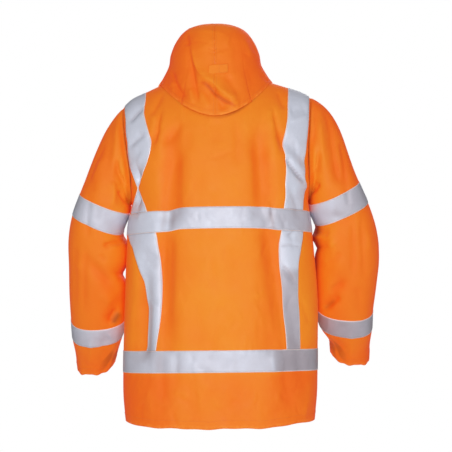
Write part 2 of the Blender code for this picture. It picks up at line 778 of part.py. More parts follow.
def add_braces(jacket, back, front, number, tape):
    """The braces: over each shoulder down to the chest band, and below it front and back."""
    back_lines = line_numbers(BACK_CELLS)
    front_lines = line_numbers(FRONT_CELLS + FRONT_CELLS[::-1])
    places = {
        "left": ((back_lines[1], back_lines[2]), (front_lines[6], front_lines[7])),
        "right": ((back_lines[4], back_lines[5]), (front_lines[1], front_lines[2])),
    }
    gaps = (TAPE_END_GAP, TAPE_END_GAP)
    below = (number["hem_band_top"], number["chest_band_foot"])
    above = (number["chest_band_top"], number["shoulder"])
    for side, (behind, before) in places.items():
        for face, grid, columns in (("back", back, behind), ("front", front, before)):
            lower = tape_strip(grid, below, columns, ends=gaps, lift=BRACE_LIFT)
            add_cloth(jacket, f"tape_brace_{face}_{side}", lower, tape, TAPE_WALL, offset=1.0)
        rising = tape_strip(back, above, behind, lift=BRACE_LIFT)
        falling = tape_strip(front, above, before, lift=BRACE_LIFT)[::-1, ::-1]
        crest = (rising[-1:] + falling[:1]) / 2
        over = np.concatenate([rising[:-1], crest, falling[1:]])
        over = trimmed(over, foot=TAPE_END_GAP, top=TAPE_END_GAP)
        add_cloth(jacket, f"tape_brace_over_{side}", over, tape, TAPE_WALL, offset=1.0)


def add_sleeve(jacket, side, orange, tape):
    grid, number = sleeve_grid(side)
    normals = surface_normals(grid, ring=True)
    sleeve = sleeve_seam(grid, sleeve_angles(side))
    add_cloth(jacket, f"sleeve_{side}", sleeve, orange, WALL, ring=True)
    for band, (first, last) in (("upper", UPPER_BAND), ("lower", LOWER_BAND)):
        lifted = grid + normals * TAPE_LIFT
        ring = lifted[number[first] : number[last] + 1]
        name = f"tape_sleeve_{side}_{band}"
        add_cloth(jacket, name, ring, tape, TAPE_WALL, offset=1.0, ring=True)


def sleeve_seam(grid, angle):
    """A sleeve's grid with its armhole edge moved down the sleeve, the most at the armpit."""
    grid = grid.copy()
    near_armpit = np.sin(np.radians(angle / 2)) ** ARMPIT_TRIM_NARROWING
    grid[0] = pulled(grid[0], grid[1], SLEEVE_TRIM + ARMPIT_TRIM * near_armpit)
    return grid


def add_hood(jacket, orange):
    for side in ("left", "right"):
        grid = hood_grid(side)
        seam = SIDE_SEAM_TRIM
        grid = trimmed(grid, right=seam) if side == "left" else trimmed(grid, left=seam)
        add_cloth(jacket, f"hood_{side}", grid, orange, WALL)
    add_cloth(jacket, "hood_tab", tab_grid(), orange, TAB_WALL)


def main():
    for thing in list(bpy.data.objects):
        bpy.data.objects.remove(thing)
    jacket = bpy.data.collections.new("hi_vis_work_jacket")
    bpy.context.scene.collection.children.link(jacket)
    orange = make_material("orange_coated_cloth", (0.85, 0.20, 0.02), 0.45, 0.0)
    tape = make_material("reflective_tape", (0.62, 0.63, 0.70), 0.35, 0.3)
    back, number = back_grid()
    front, _ = front_grid()
    add_body_panels(jacket, back, front, number, orange)
    add_flap(jacket, front, number, orange, tape)
    add_bands(jacket, back, front, number, tape)
    add_braces(jacket, back, front, number, tape)
    for side in ("left", "right"):
        add_sleeve(jacket, side, orange, tape)
    add_hood(jacket, orange)


main()
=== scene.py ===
"""The looks of a hooded hi-vis work jacket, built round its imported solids.

Each piece of cloth follows the same surface as its solid, in a finer mesh, and has its creases,
seams, stitching and finish made here. Metres, +Z up, +X to the wearer's right and +Y to the
wearer's front. Tables are in millimetres and degrees.
"""

from collections import namedtuple

import bpy
import numpy as np
from mathutils import Matrix, Vector


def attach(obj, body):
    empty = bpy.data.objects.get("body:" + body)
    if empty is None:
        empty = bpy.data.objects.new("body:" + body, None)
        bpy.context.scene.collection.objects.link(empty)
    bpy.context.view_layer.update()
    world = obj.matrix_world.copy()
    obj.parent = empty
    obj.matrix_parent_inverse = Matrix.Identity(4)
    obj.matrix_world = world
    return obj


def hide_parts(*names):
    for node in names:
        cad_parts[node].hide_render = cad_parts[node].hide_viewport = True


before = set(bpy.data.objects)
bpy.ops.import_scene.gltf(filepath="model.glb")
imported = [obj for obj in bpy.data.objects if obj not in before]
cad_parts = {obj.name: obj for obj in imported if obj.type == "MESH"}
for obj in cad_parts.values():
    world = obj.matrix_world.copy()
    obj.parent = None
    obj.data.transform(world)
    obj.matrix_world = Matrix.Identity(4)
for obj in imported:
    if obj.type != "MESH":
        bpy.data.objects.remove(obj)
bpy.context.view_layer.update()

MM = 0.001
TINY = 1e-9
LEAST_NORMAL = 1e-12

# Cloth, tape and thread
CLOTH = 1.2 * MM
TAPE = 0.5 * MM
TAPE_WIDTH = 50 * MM
TAPE_LIFT = CLOTH / 2 + 0.35 * MM
TAPE_EDGE_DROP = 0.25 * MM
TAPE_STITCH_INSET = 2.6 * MM
FLAP_LIFT = 2.4 * MM
TAB_CLOTH = 1.6 * MM

# Heights
HEM_Z = -812 * MM
HEM_BAND_FOOT = -697 * MM
HEM_BAND_TOP = HEM_BAND_FOOT + TAPE_WIDTH
CHEST_BAND_FOOT = -374 * MM
CHEST_BAND_TOP = CHEST_BAND_FOOT + TAPE_WIDTH
ARMPIT_Z = -302 * MM

# The body's cross-sections are flattened ovals: 2 would be an ellipse, more is boxier.
OVAL = 2.3
SHOULDER_OVAL = 2.0
ARMHOLE_SWELL = 0.15
ARMHOLE_SWELL_TILT = 60.0

# Neck opening
NECK_HALF = 78 * MM
NECK_BACK_Y = -60 * MM
NECK_BACK_Z = -22 * MM
NECK_FRONT_Y = 78 * MM
NECK_FRONT_Z = -88 * MM

FLAP_HALF = 36 * MM

# rise is how much higher the middle of the cloth hangs than its side seams
Section = namedtuple("Section", "z centre half_width back front rise")
TORSO = [
    Section(-830, -1, 219, 149, 160, -10),
    Section(-750, 0, 227, 151, 163, -2),
    Section(-697, 1, 228, 151, 165, 3),
    Section(-650, 2, 228, 151, 166, 3),
    Section(-530, 5, 227, 150, 168, 3),
    Section(-420, 4, 221, 150, 168, 4),
    Section(-340, 3, 215, 150, 167, 4),
    Section(-302, 5, 208, 150, 165, 3),
]

# Armhole edge from armpit (0) to shoulder tip (1), as seen from behind
Armhole = namedtuple("Armhole", "rise left right")
ARMHOLE = [
    Armhole(0.00, 203, 213),
    Armhole(0.25, 204, 214),
    Armhole(0.50, 212, 214),
    Armhole(0.75, 219, 219),
    Armhole(1.00, 224, 223.5),
]

# Shoulder seam from the neck outwards; the left shoulder hangs lower
Shoulder = namedtuple("Shoulder", "x left right")
SHOULDER = [
    Shoulder(0, 6, 6),
    Shoulder(78, 0, 0),
    Shoulder(135, -22, -19),
    Shoulder(172, -39, -31),
    Shoulder(205, -56, -43),
    Shoulder(224, -74, -54),
]

# Edges of the braces on the back, and how deep the left one is tucked in along its middle
Brace = namedtuple("Brace", "z left_out left_in left_tuck right_in right_out")
BACK_BRACES = [
    Brace(-646, 176.5, 145, 0, 156, 189),
    Brace(-610, 175, 140, 0, 154, 188),
    Brace(-560, 172.5, 134.5, 0, 150, 186),
    Brace(-510, 174, 131.5, 0, 147, 182.5),
    Brace(-450, 186, 134, 0, 141, 183.5),
    Brace(-410, 197.5, 139, 0, 141, 191),
    Brace(-374, 209, 142, 0, 145, 196),
    Brace(-324, 204, 162, 3, 150, 197),
    Brace(-298, 195, 173, 12, 152, 199),
    Brace(-279, 187.5, 180, 20, 154, 201),
    Brace(-272, 185, 182.5, 21, 154, 204),
    Brace(-265, 187.5, 180, 20, 155, 203),
    Brace(-240, 196, 170.5, 10, 157, 202),
    Brace(-210, 204, 157, 2, 156, 205),
    Brace(-192, 206.5, 152, 0, 154, 206),
    Brace(-160, 208.5, 155, 0, 157, 209),
    Brace(-125, 212, 164, 0, 163, 213),
    Brace(-98, 213, 169, 0, 165, 215),
    Brace(-70, 216, 166, 0, 167, 217),
    Brace(-45, 218, 167, 0, 169, 219),
]
FRONT_BRACES = [
    Brace(-646, 190, 150, 0, 150, 190),
    Brace(-374, 196, 150, 0, 150, 196),
    Brace(-324, 194, 150, 0, 150, 196),
    Brace(-205, 202, 154, 0, 154, 204),
    Brace(-45, 218, 167, 0, 169, 219),
]

# A fold's path is x and z as seen from behind or from the front. It reaches width to each side
# and stands out (depth above 0) or sinks in. lean above 0 makes the side to the path's left steep.
Fold = namedtuple("Fold", "path width depth lean", defaults=(0.0,))
BACK_FOLDS = [
    Fold(((-165, -430), (-178, -670)), 21, -6),
    Fold(((-172, -490), (-178, -670)), 20, -8),
    Fold(((-175, -550), (-178, -670)), 19, -8),
    Fold(((-118, -400), (-118, -640)), 22, -7),
    Fold(((-105, -160), (-98, -330)), 24, -8),
    Fold(((-135, -110), (-128, -200)), 18, 5),
    Fold(((96, -160), (98, -330)), 24, -8),
    Fold(((132, -100), (128, -200)), 20, 5),
    Fold(((128, -400), (118, -640)), 24, -7),
    Fold(((200, -210), (150, -160)), 14, -6),
    Fold(((206, -262), (150, -300)), 16, 5),
    Fold(((0, -420), (10, -640)), 60, 4),
]
BACK_CREASES = [
    # From the left shoulder down
    Fold(((-130, -84), (-135, -112), (-141, -146), (-149, -181)), 10, -10, 0.3),
    Fold(((-141, -96), (-148, -130), (-152, -160)), 9.2, 4.2),
    Fold(((-126, -46), (-140, -79), (-155, -104)), 6.9, -4.2),
    Fold(((-206, -118), (-186, -96), (-168, -80)), 9, -7, -0.5),
    Fold(((-206, -176), (-192, -166), (-166, -146)), 9, -5, -0.5),
    Fold(((-200, -225), (-184, -214), (-166, -190)), 8, 2.5),
    # Upper back, left of the middle
    Fold(((-94, -176), (-99, -225), (-105, -277), (-111, -318), (-118, -372)), 25, -10, 0.2),
    Fold(((-106, -230), (-114, -280), (-124, -330)), 9, -2),
    Fold(((-76, -190), (-78, -260), (-77, -330), (-80, -390)), 10, 1.3),
    Fold(((-79, -115), (-92, -142), (-108, -160), (-124, -180)), 10, -4.5),
    Fold(((-64, -140), (-66, -196)), 11.5, -2),
    Fold(((-46, -240), (-42, -330)), 16.1, -1.7),
    Fold(((-84, -250), (-60, -252)), 4.6, -0.8),
    # The middle
    Fold(((-1, -118), (-1, -180)), 18.4, -2.2),
    Fold(((-30, -210), (-2, -208), (16, -200), (44, -192)), 3.7, -1.9, 0.3),
    Fold(((72, -173), (94, -163)), 4.6, -1.4),
    Fold(((50, -134), (50, -236)), 11.5, -2.4),
    Fold(((14, -220), (20, -310)), 18.4, 1.5),
    # From the right shoulder down, across the brace
    Fold(((130, -82), (137, -120), (145, -153), (156, -203)), 7.5, -7.1, 0.4),
    Fold(((122, -90), (130, -140)), 8, 2.7),
    Fold(((155, -204), (169, -228), (185, -247), (204, -266)), 7, -9.5, -0.5),
    Fold(((166, -204), (182, -226), (204, -244)), 8, 3.5),
    Fold(((142, -42), (150, -68), (161, -92)), 8, -4.1),
    Fold(((166, -122), (190, -114), (214, -103)), 6.9, 2.7),
    Fold(((168, -98), (212, -84)), 12.6, -3.1),
    Fold(((165, -268), (176, -301), (192, -352)), 10.3, -4.4),
    Fold(((92, -160), (98, -214), (100, -262), (101, -322)), 19, -9, -0.2),
    Fold(((72, -190), (77, -260), (79, -330)), 10, 1.3),
    Fold(((40, -110), (44, -160), (42, -230)), 9, -2.2),
    # Below the chest band, left
    Fold(((-117, -350), (-120, -424), (-122, -500), (-124, -570), (-126, -625)), 21, -9),
    Fold(((-124, -384), (-126, -440), (-128, -520)), 6, -1.6),
    Fold(((-112, -370), (-115, -430), (-118, -490)), 5, 1.2),
    Fold(((-88, -372), (-93, -433), (-98, -510), (-104, -590)), 10, 1.2),
    Fold(((-96, -640), (-98, -690), (-102, -740)), 14, -3),
    Fold(((-140, -426), (-158, -458)), 12.6, -3.7),
    Fold(((-128, -640), (-130, -700), (-126, -770)), 13.8, -4.2),
    # Below the chest band, middle
    Fold(((-22, -410), (-16, -450), (-9, -505)), 9.2, -1.5),
    Fold(((-48, -520), (-40, -640)), 20.7, -2),
    Fold(((38, -400), (30, -520)), 23, -1.7),
    Fold(((16, -560), (24, -690)), 25.3, 2),
    Fold(((-70, -700), (-64, -790)), 18.4, -2.7),
    Fold(((46, -705), (40, -800)), 20.7, -2.4),
    # Below the chest band, right
    Fold(
        ((104, -322), (111, -381), (121, -440), (131, -500), (139, -560), (147, -640)),
        21,
        -10,
        -0.1,
    ),
    Fold(((116, -370), (126, -430), (136, -500)), 6, -1.6),
    Fold(((140, -600), (148, -660), (152, -720), (162, -800)), 20, -6, -0.2),
    Fold(((206, -706), (200, -760), (190, -806)), 12, 3),
    Fold(((160, -480), (168, -560), (180, -650), (186, -740)), 26, -9),
    Fold(((90, -470), (91, -560), (88, -650)), 8, -1.7),
    Fold(((112, -520), (120, -620)), 9.2, 2.2),
    Fold(((140, -411), (164, -408), (192, -413)), 3.9, -2.5),
    Fold(((143, -450), (163, -472), (177, -498)), 7, -4, 0.5),
    Fold(((155, -388), (178, -370)), 8, -2.7),
    Fold(((188, -530), (200, -560), (210, -596)), 6.9, -2.7),
    Fold(((118, -655), (122, -700)), 8, 1.4),
    Fold(((190, -640), (196, -770)), 13.8, -3.7),
    Fold(((-192, -560), (-198, -690)), 16.1, -3.1),
    Fold(((-200, -410), (-184, -520)), 16.1, 3.4),
]
# Lines of painted shade along the creases of the back's tape, and of painted light where depth is
# below 0: depth is how much duller it is there
TAPE_SHADE_LINES = [
    Fold(((155, -204), (169, -228), (185, -247), (204, -266)), 3.4, 0.75),
    Fold(((143, -450), (163, -472), (177, -498)), 2.4, 0.3),
    Fold(((140, -411), (164, -408), (192, -413)), 2.4, 0.4),
    Fold(((155, -388), (178, -370)), 2.4, 0.3),
    Fold(((-206, -118), (-186, -96), (-168, -80)), 4, 0.35),
    Fold(((-206, -176), (-192, -166), (-166, -146)), 3, 0.2),
    Fold(((-121, -326), (-129, -378)), 4, 0.2),
    Fold(((-99, -322), (-104, -380)), 5, 0.3),
    Fold(((-111, -322), (-116, -380)), 4, -0.4),
    Fold(((117, -322), (129, -380)), 4, 0.5),
    Fold(((-90, -640), (-93, -704)), 4, 0.15),
    Fold(((-106, -640), (-108, -704)), 8, -0.12),
    Fold(((-137, -640), (-138, -704)), 12, 0.35),
    Fold(((34, -640), (36, -704)), 7, 0.12),
    Fold(((118, -640), (122, -704)), 5, -0.3),
]
FRONT_FOLDS = [
    Fold(((-110, -150), (-104, -330)), 26, -7),
    Fold(((112, -170), (104, -340)), 26, -7),
    Fold(((-120, -430), (-128, -700)), 26, -8),
    Fold(((124, -460), (116, -720)), 26, -7),
    Fold(((-170, -250), (-110, -300)), 20, -5),
    Fold(((172, -240), (112, -300)), 20, -5),
]
FRONT_CREASES = [
    Fold(((128, -90), (136, -140), (150, -190)), 7.7, -5.2, 0.3),
    Fold(((-126, -84), (-134, -130), (-150, -182)), 7.7, -6, -0.3),
    Fold(((98, -170), (94, -240), (100, -322)), 9.9, -5.4),
    Fold(((-92, -180), (-98, -250), (-96, -326)), 9.9, -5.7),
    Fold(((204, -256), (168, -262), (120, -296)), 9.9, -4.8, 0.4),
    Fold(((-202, -262), (-164, -272), (-118, -300)), 9.9, -4.8, -0.4),
    Fold(((60, -130), (64, -220)), 12.1, -2.2),
    Fold(((-58, -150), (-66, -230)), 12.1, -2.2),
    Fold(((108, -380), (118, -470), (112, -560)), 9.9, -5.7),
    Fold(((-112, -384), (-104, -470), (-118, -580)), 9.9, -6.3),
    Fold(((150, -420), (162, -500), (156, -640)), 11, -3.9),
    Fold(((-150, -400), (-160, -490), (-150, -640)), 11, -3.6),
    Fold(((76, -420), (70, -600)), 14.3, 2.4),
    Fold(((-74, -440), (-80, -620)), 14.3, 2.2),
    Fold(((120, -640), (128, -700), (124, -780)), 11, -3.9),
    Fold(((-124, -650), (-118, -720), (-124, -790)), 11, -3.9),
    Fold(((190, -450), (196, -560)), 13.2, -3),
    Fold(((-190, -470), (-194, -590)), 13.2, -3),
    Fold(((62, -700), (58, -790)), 15.4, -2.1),
    Fold(((-60, -690), (-66, -790)), 15.4, -2.1),
    Fold(((56, -250), (92, -262)), 4.4, -1.4),
    Fold(((-60, -214), (-96, -222)), 4.4, -1.4),
]

# Sleeve rings: centre, half widths across and front to back, and the arm's lean out and forward
Station = namedtuple("Station", "x y z across deep lean pitch")
SLEEVES = {
    "left": [
        Station(269, 12, -297, 62, 80, 23, 10),
        Station(287, 21, -346, 63, 80, 24, 11),
        Station(288, 32, -390, 70, 80, 8, 13),
        Station(289, 46, -440, 70, 80, 0, 17),
        Station(291, 67, -505, 70, 76, -1, 23),
        Station(293, 92, -566, 68, 70, -3, 29),
        Station(299, 117, -609, 62, 65, -3, 30),
        Station(303, 138, -645, 54, 59, -8, 30),
        Station(308, 157, -683, 48, 54, -15, 30),
    ],
    "right": [
        Station(278, 12, -279, 62, 80, 26, 10),
        Station(295, 21, -328, 66, 80, 25, 11),
        Station(303, 31, -380, 75, 80, 12, 13),
        Station(308, 44, -430, 76, 80, 2, 17),
        Station(306, 65, -492, 73, 76, -2, 23),
        Station(304, 89, -551, 69, 70, -5, 29),
        Station(309, 114, -594, 64, 65, -5, 30),
        Station(319, 135, -630, 51, 59, -10, 30),
        Station(322, 154, -667, 49, 54, -16, 30),
    ],
}
SLEEVE_BACK_FOLDS = {
    "left": [
        Fold(((-231, -95), (-226, -260)), 16, 4),
        Fold(((-248, -190), (-224, -300)), 14, -5),
        Fold(((-276, -150), (-296, -268)), 14, -4),
        Fold(((-302, -440), (-250, -500)), 16, -4),
        Fold(((-262, -571), (-232, -528)), 14, -6),
    ],
    "right": [
        Fold(((240, -120), (246, -260)), 16, 4),
        Fold(((262, -100), (280, -250)), 15, -5),
        Fold(((290, -180), (299, -275)), 14, -4),
        Fold(((240, -330), (300, -352)), 14, -4),
        Fold(((262, -395), (282, -450)), 18, 4),
        Fold(((252, -545), (287, -497)), 14, -6),
    ],
}
SLEEVE_BACK_CREASES = {
    "left": [
        Fold(((-222, -96), (-216, -140), (-210, -190), (-206, -250)), 5.5, -5.2, 0.3),
        Fold(((-232, -98), (-235, -155), (-242, -216), (-246, -252)), 8.8, 4.5),
        Fold(((-246, -252), (-242, -286), (-247, -314)), 7.7, 4.5),
        Fold(((-236, -196), (-232, -226), (-223, -246), (-212, -268)), 6.6, -6.8, 0.4),
        Fold(((-231, -272), (-221, -290), (-211, -305)), 5.5, -8.2),
        Fold(((-262, -158), (-284, -203), (-298, -237), (-312, -268)), 8.8, -4.8),
        Fold(((-272, -196), (-292, -250)), 8.8, 3),
        Fold(((-298, -280), (-304, -345), (-306, -390)), 8.8, -3.6),
        Fold(((-278, -300), (-284, -350)), 11, -2.1),
        Fold(((-270, -404), (-250, -396), (-228, -392)), 6.1, -8.2, 0.3),
        Fold(((-277, -420), (-264, -440)), 5.5, -3),
        Fold(((-310, -400), (-318, -480), (-322, -560)), 9.9, -3.9),
        Fold(((-336, -390), (-340, -480), (-343, -560)), 8.8, -3.6),
        Fold(((-302, -440), (-276, -470), (-250, -492)), 9.9, -3.6),
        Fold(((-280, -512), (-256, -540)), 9.9, 3),
        Fold(((-264, -582), (-257, -569), (-242, -548)), 7.7, -9, 0.3),
        Fold(((-292, -640), (-262, -616)), 13.2, -4.5),
        Fold(((-310, -620), (-318, -690)), 8.8, 2.7),
    ],
    "right": [
        Fold(((233, -84), (230, -130), (224, -176)), 5.5, -5.2, -0.3),
        Fold(((241, -105), (243, -154), (247, -240)), 8.8, 4.5),
        Fold(((237, -186), (231, -222), (220, -248)), 6.6, -5.7, -0.4),
        Fold(((236, -262), (222, -286)), 5.5, -7.5),
        Fold(((255, -82), (266, -128), (271, -177), (276, -225), (282, -268)), 9.9, -6, 0.3),
        Fold(((288, -158), (297, -211), (299, -275)), 8.8, -5.1, 0.3),
        Fold(((284, -170), (288, -250)), 6.6, 2.4),
        Fold(((300, -275), (304, -318)), 6.6, -2.7),
        Fold(((234, -368), (246, -378), (262, -382)), 11, -6.8),
        Fold(((250, -446), (268, -440), (288, -424)), 8.8, -3.6),
        Fold(((256, -398), (266, -412)), 12.1, 3.9),
        Fold(((262, -516), (280, -502), (296, -498)), 6.6, -3.3),
        Fold(((253, -558), (272, -540), (288, -530)), 7.7, -8.2, -0.3),
        Fold(((314, -340), (315, -410), (315, -486)), 7.7, -3.9),
        Fold(((334, -340), (338, -420), (343, -490)), 7.7, -3.6),
        Fold(((352, -375), (355, -420)), 7.7, 2.7),
        Fold(((330, -500), (334, -570)), 9.9, -3),
        Fold(((300, -660), (264, -630)), 13.2, -4.5),
        Fold(((314, -610), (322, -680)), 8.8, 2.7),
    ],
}
SLEEVE_FRONT_FOLDS = {
    "left": [
        Fold(((-222, -250), (-290, -320)), 18, -6),
        Fold(((-250, -470), (-335, -436)), 16, -7),
        Fold(((-245, -512), (-345, -494)), 14, -5),
    ],
    "right": [
        Fold(((232, -240), (300, -306)), 18, -6),
        Fold(((262, -452), (348, -424)), 16, -7),
        Fold(((256, -500), (352, -476)), 14, -5),
    ],
}
SLEEVE_FRONT_CREASES = {
    "left": [
        Fold(((-232, -110), (-236, -180), (-228, -250)), 7.7, -5.2),
        Fold(((-262, -120), (-272, -200), (-292, -270)), 9.9, -4.5),
        Fold(((-216, -270), (-250, -296), (-292, -300)), 7.7, -5.2),
        Fold(((-248, -400), (-290, -388), (-334, -396)), 9.9, -4.5),
        Fold(((-250, -446), (-290, -430), (-340, -424)), 7.7, -6),
        Fold(((-246, -486), (-296, -478), (-346, -470)), 7.7, -5.4),
        Fold(((-262, -530), (-310, -524)), 7.7, -3.6),
        Fold(((-276, -590), (-290, -650)), 11, -3.6),
    ],
    "right": [
        Fold(((240, -104), (246, -170), (236, -244)), 7.7, -5.2),
        Fold(((272, -120), (286, -196), (302, -262)), 9.9, -4.5),
        Fold(((226, -262), (262, -286), (306, -288)), 7.7, -5.2),
        Fold(((262, -386), (306, -372), (350, -382)), 9.9, -4.5),
        Fold(((262, -430), (304, -416), (352, -410)), 7.7, -6),
        Fold(((258, -474), (310, -464), (360, -456)), 7.7, -5.4),
        Fold(((276, -520), (326, -512)), 7.7, -3.6),
        Fold(((292, -580), (304, -640)), 11, -3.6),
    ],
}
SLEEVE_OVAL = 2.35
UPPER_BAND = (0, 1)
LOWER_BAND = (5, 6)
SIDE_SIGN = {"left": -1.0, "right": 1.0}

# How far the inner side of the sleeve swells towards the body, or away from it where below 0
Swell = namedtuple("Swell", "z left right")
SLEEVE_SWELLS = [
    Swell(-520, 0, 1),
    Swell(-490, -1, 2),
    Swell(-478, -7, 2),
    Swell(-466, -14, 2),
    Swell(-454, -7, 1),
    Swell(-440, 0, 1),
    Swell(-425, 2, -1),
    Swell(-410, 2, -7),
    Swell(-396, 1, -1),
    Swell(-386, 1, 7),
    Swell(-376, 0, 4),
    Swell(-360, 0, 1),
    Swell(-344, 1, 5),
    Swell(-328, 2, 9),
    Swell(-300, 0, 4),
    Swell(-270, 0, 0),
]

# How dark the painted shade on the sleeve's inner side is, and the angle from which it darkens
SLEEVE_SHADE = {"left": (0.5, 150.0), "right": (0.95, 143.0)}

# Painted shade in a hollow on each sleeve, above the lower band's inner end
SLEEVE_HOLLOWS = {
    "left": Fold(((-256, -586), (-247, -572), (-238, -558)), 7, 0.62),
    "right": Fold(((250, -558), (264, -546), (278, -534)), 5.5, 0.3),
}

# How the sleeve leaves the armhole, from the shoulder tip (0) round to the armpit (180)
Lead = namedtuple("Lead", "angle out inward down")
LEADS = {
    "left": [
        Lead(0, 0.64, 0.00, 0.66),
        Lead(90, 0.80, 0.22, 0.56),
        Lead(180, 0.98, 0.00, 0.20),
    ],
    "right": [
        Lead(0, 0.98, 0.00, 0.44),
        Lead(90, 0.80, 0.22, 0.56),
        Lead(180, 0.98, 0.00, 0.20),
    ],
}
LEAD_REACH = 1.05

# Hood profile from the crown (0) to the lower edge (1): side, centre back and front
Hood = namedtuple("Hood", "reach half_width side_z back_y back_z front_y front_z")
HOOD = [
    Hood(0.00, 0, 121, -12, 121, -12, 121),
    Hood(0.20, 48, 117, -56, 116, 42, 121),
    Hood(0.34, 74, 104, -84, 100, 76, 112),
    Hood(0.48, 93, 80, -102, 74, 100, 94),
    Hood(0.62, 105, 52, -111, 38, 114, 62),
    Hood(0.76, 110, 26, -117, -6, 120, 22),
    Hood(0.88, 122, 4, -126, -60, 124, -34),
    Hood(1.00, 135, -14, -138, -114, 120, -104),
]
HOOD_CENTRE = -3 * MM
HOOD_LIFT = 5 * MM
HOOD_SIDE_LIFT = 2 * MM
HOOD_LOWER_FOLLOW = 5.0
HOOD_CORNER = 95.0
HOOD_THROAT = 176.0
FOREHEAD_REACH = 0.38
FACE_HANDLES = ((0.62, 0.36), (0.52, 0.85))
HOOD_FOLDS = [
    Fold(((-36, -27), (34, -84)), 14, 5),
    Fold(((-38, -40), (14, -86)), 12, -6),
    Fold(((-60, 80), (-42, -20)), 16, -4),
]
HOOD_CREASES = [
    # The fold that hangs over the lower edge: a ridge, and a deep step below it
    Fold(
        ((-34, -23), (-21, -26), (-8, -36), (5, -51), (22, -66), (37, -77), (50, -84)), 10, 9, -0.95
    ),
    Fold(((-28, -36), (-17, -43), (-6, -56), (5, -67)), 5, -4),
    Fold(((-54, 34), (-42, 0), (-26, -22)), 13, 3.5),
    Fold(((-36, -50), (-28, -72), (-18, -96)), 8, 2.5),
    # The two facets on the left
    Fold(((-57, 66), (-53, 36), (-46, 8), (-33, -14), (-16, -32)), 8, 5, -0.7),
    Fold(((-60, 40), (-54, 4), (-50, -27), (-45, -58), (-41, -84)), 8, -6, 0.5),
    Fold(((-61, -43), (-58, -64), (-54, -82)), 6, 3.5),
    Fold(((-107, 12), (-94, -30), (-80, -55), (-66, -70)), 8, -6, 0.4),
    Fold(((-112, -8), (-101, -34)), 6, 3),
    Fold(((-119, 4), (-112, -10), (-104, -23)), 5, -3),
    Fold(((-70, 98), (-67, 80), (-63, 58)), 7, -5, 0.4),
    # Crown and right side
    Fold(((-46, 96), (-4, 90), (30, 80)), 7, 1.6),
    Fold(((-18, 50), (-7, 44), (2, 50)), 2.6, -1.3),
    Fold(((-20, 42), (-7, 36), (6, 42)), 2.6, -1.1),
    Fold(((76, 90), (88, 66), (98, 38)), 6, -4, 0.4),
    Fold(((62, 80), (76, 52), (84, 30)), 7, 2),
    Fold(((14, -8), (36, -38), (50, -64)), 10, -2.6),
    Fold(((70, 10), (82, -30), (80, -58)), 12, -2.6),
    Fold(((104, -2), (118, -14), (128, -20)), 6, -3),
    Fold(((40, 60), (46, 20), (44, -10)), 13, -1.6),
]

# The deep line of painted shade under the hood's fold
HOOD_FOLD_LINE = Fold(
    ((-38, -31), (-26, -35), (-15, -45), (-3, -60), (15, -74), (33, -84), (44, -90)), 3.4, 1
)

# Small creases: the seed they are drawn from, how many, the x and z they lie between, how far they
# turn from upright, and their size
Scatter = namedtuple("Scatter", "seed count x_span z_span turn size", defaults=(1.0,))
BACK_SCATTERS = [
    Scatter(11, 70, (-210, 210), (-790, -110), 26),
    Scatter(14, 70, (-190, 200), (-806, -730), 40, 0.55),
    Scatter(15, 80, (-200, 200), (-720, -110), 34, 0.55),
]
FRONT_SCATTER = Scatter(12, 70, (-210, 210), (-790, -130), 26)
SLEEVE_SCATTERS = {
    "left": Scatter(21, 46, (-380, -215), (-690, -90), 30),
    "right": Scatter(21, 46, (215, 380), (-690, -90), 30),
}
HOOD_SCATTERS = {
    -1: Scatter(31, 26, (-125, 120), (-90, 105), 50),
    1: Scatter(32, 20, (-120, 120), (-90, 105), 50),
}
# Half their length, their bend, depth and width are drawn between these, about upright.
SCATTER_UPRIGHT = 90
SCATTER_HALF = (12, 38)
SCATTER_BEND = (-5, 5)
SCATTER_DEPTH = (0.5, 1.5)
SCATTER_WIDTH = (4, 9)

# Hood tab, on the hood's centre back; its left end is loose
TAB_X = (-17 * MM, 27 * MM)
TAB_Z = (-14 * MM, 7 * MM)
TAB_LIFT = 2.0 * MM
TAB_DROOP = 3.0 * MM
TAB_LOOSE = 14 * MM
TAB_LOOSE_LIFT = 1.2 * MM
TAB_STITCH_INSET = 1.8 * MM

# How deep the armhole seam sinks in, from the armpit (0) to the shoulder tip (1)
GROOVE_RISE = (0.0, 0.12, 0.3, 0.6, 0.85, 1.0)
GROOVE_DEPTH = (5.0, 15.0, 13.0, 9.0, 5.0, 0.0)
DEEPEST_GROOVE = MM * max(GROOVE_DEPTH)
GROOVE_BODY_REACH = 5.5 * MM
GROOVE_SLEEVE_REACH = 12 * MM
GROOVE_BELOW = 0.03

# The shape of the left brace's pleat, and how often the back's rows are smoothed
TUCK_SHARPNESS = 1.15
EASE_PASSES = 60

# How a fold is shaped: its sides, its ends and how far its lean goes; and the relief's limit
FOLD_SHARPNESS = 1.7
END_TAPER = 0.3
END_TAPER_LEAST = 0.15
LEAN_REACH = 0.75
PATH_STEPS = 6
MOST_RELIEF = 9.0

# Where something changes along x, z, a turn or a climb: the place where it starts, and how far on
# it is complete. It goes on towards smaller values where the second number is below 0.
EASED_ACROSS = (140 * MM, -30 * MM)
EASED_UP_TO = (0.9, -0.1)
FOLDS_END = (-632 * MM, -45 * MM)
FADE_AT_SIDES = (np.pi / 2, -np.radians(14.0))
FADE_AT_TOP = (1.0, -0.15)
HOOD_SIDES = (0.52, 0.28)
SLEEVE_INNER_SIDE = (100, 50)

# How far from an edge something is complete, and how much of the back's folds is lost below
CREASE_EDGE_FADE = 9 * MM
HOOD_SEAM_FADE = 0.08
SWELL_FADE = 40 * MM
FOLDS_END_LOSS = 0.85

# The chest band hangs lower at both sides: by how much, from which x and over what width; and the
# heights between which it does, and how softly it starts and ends there
Droop = namedtuple("Droop", "depth start width")
DROOPS = {-1: Droop(4.5, 82, 35), 1: Droop(3.0, 100, 40)}
DROOP_HEIGHTS = (-392, -322, 15)

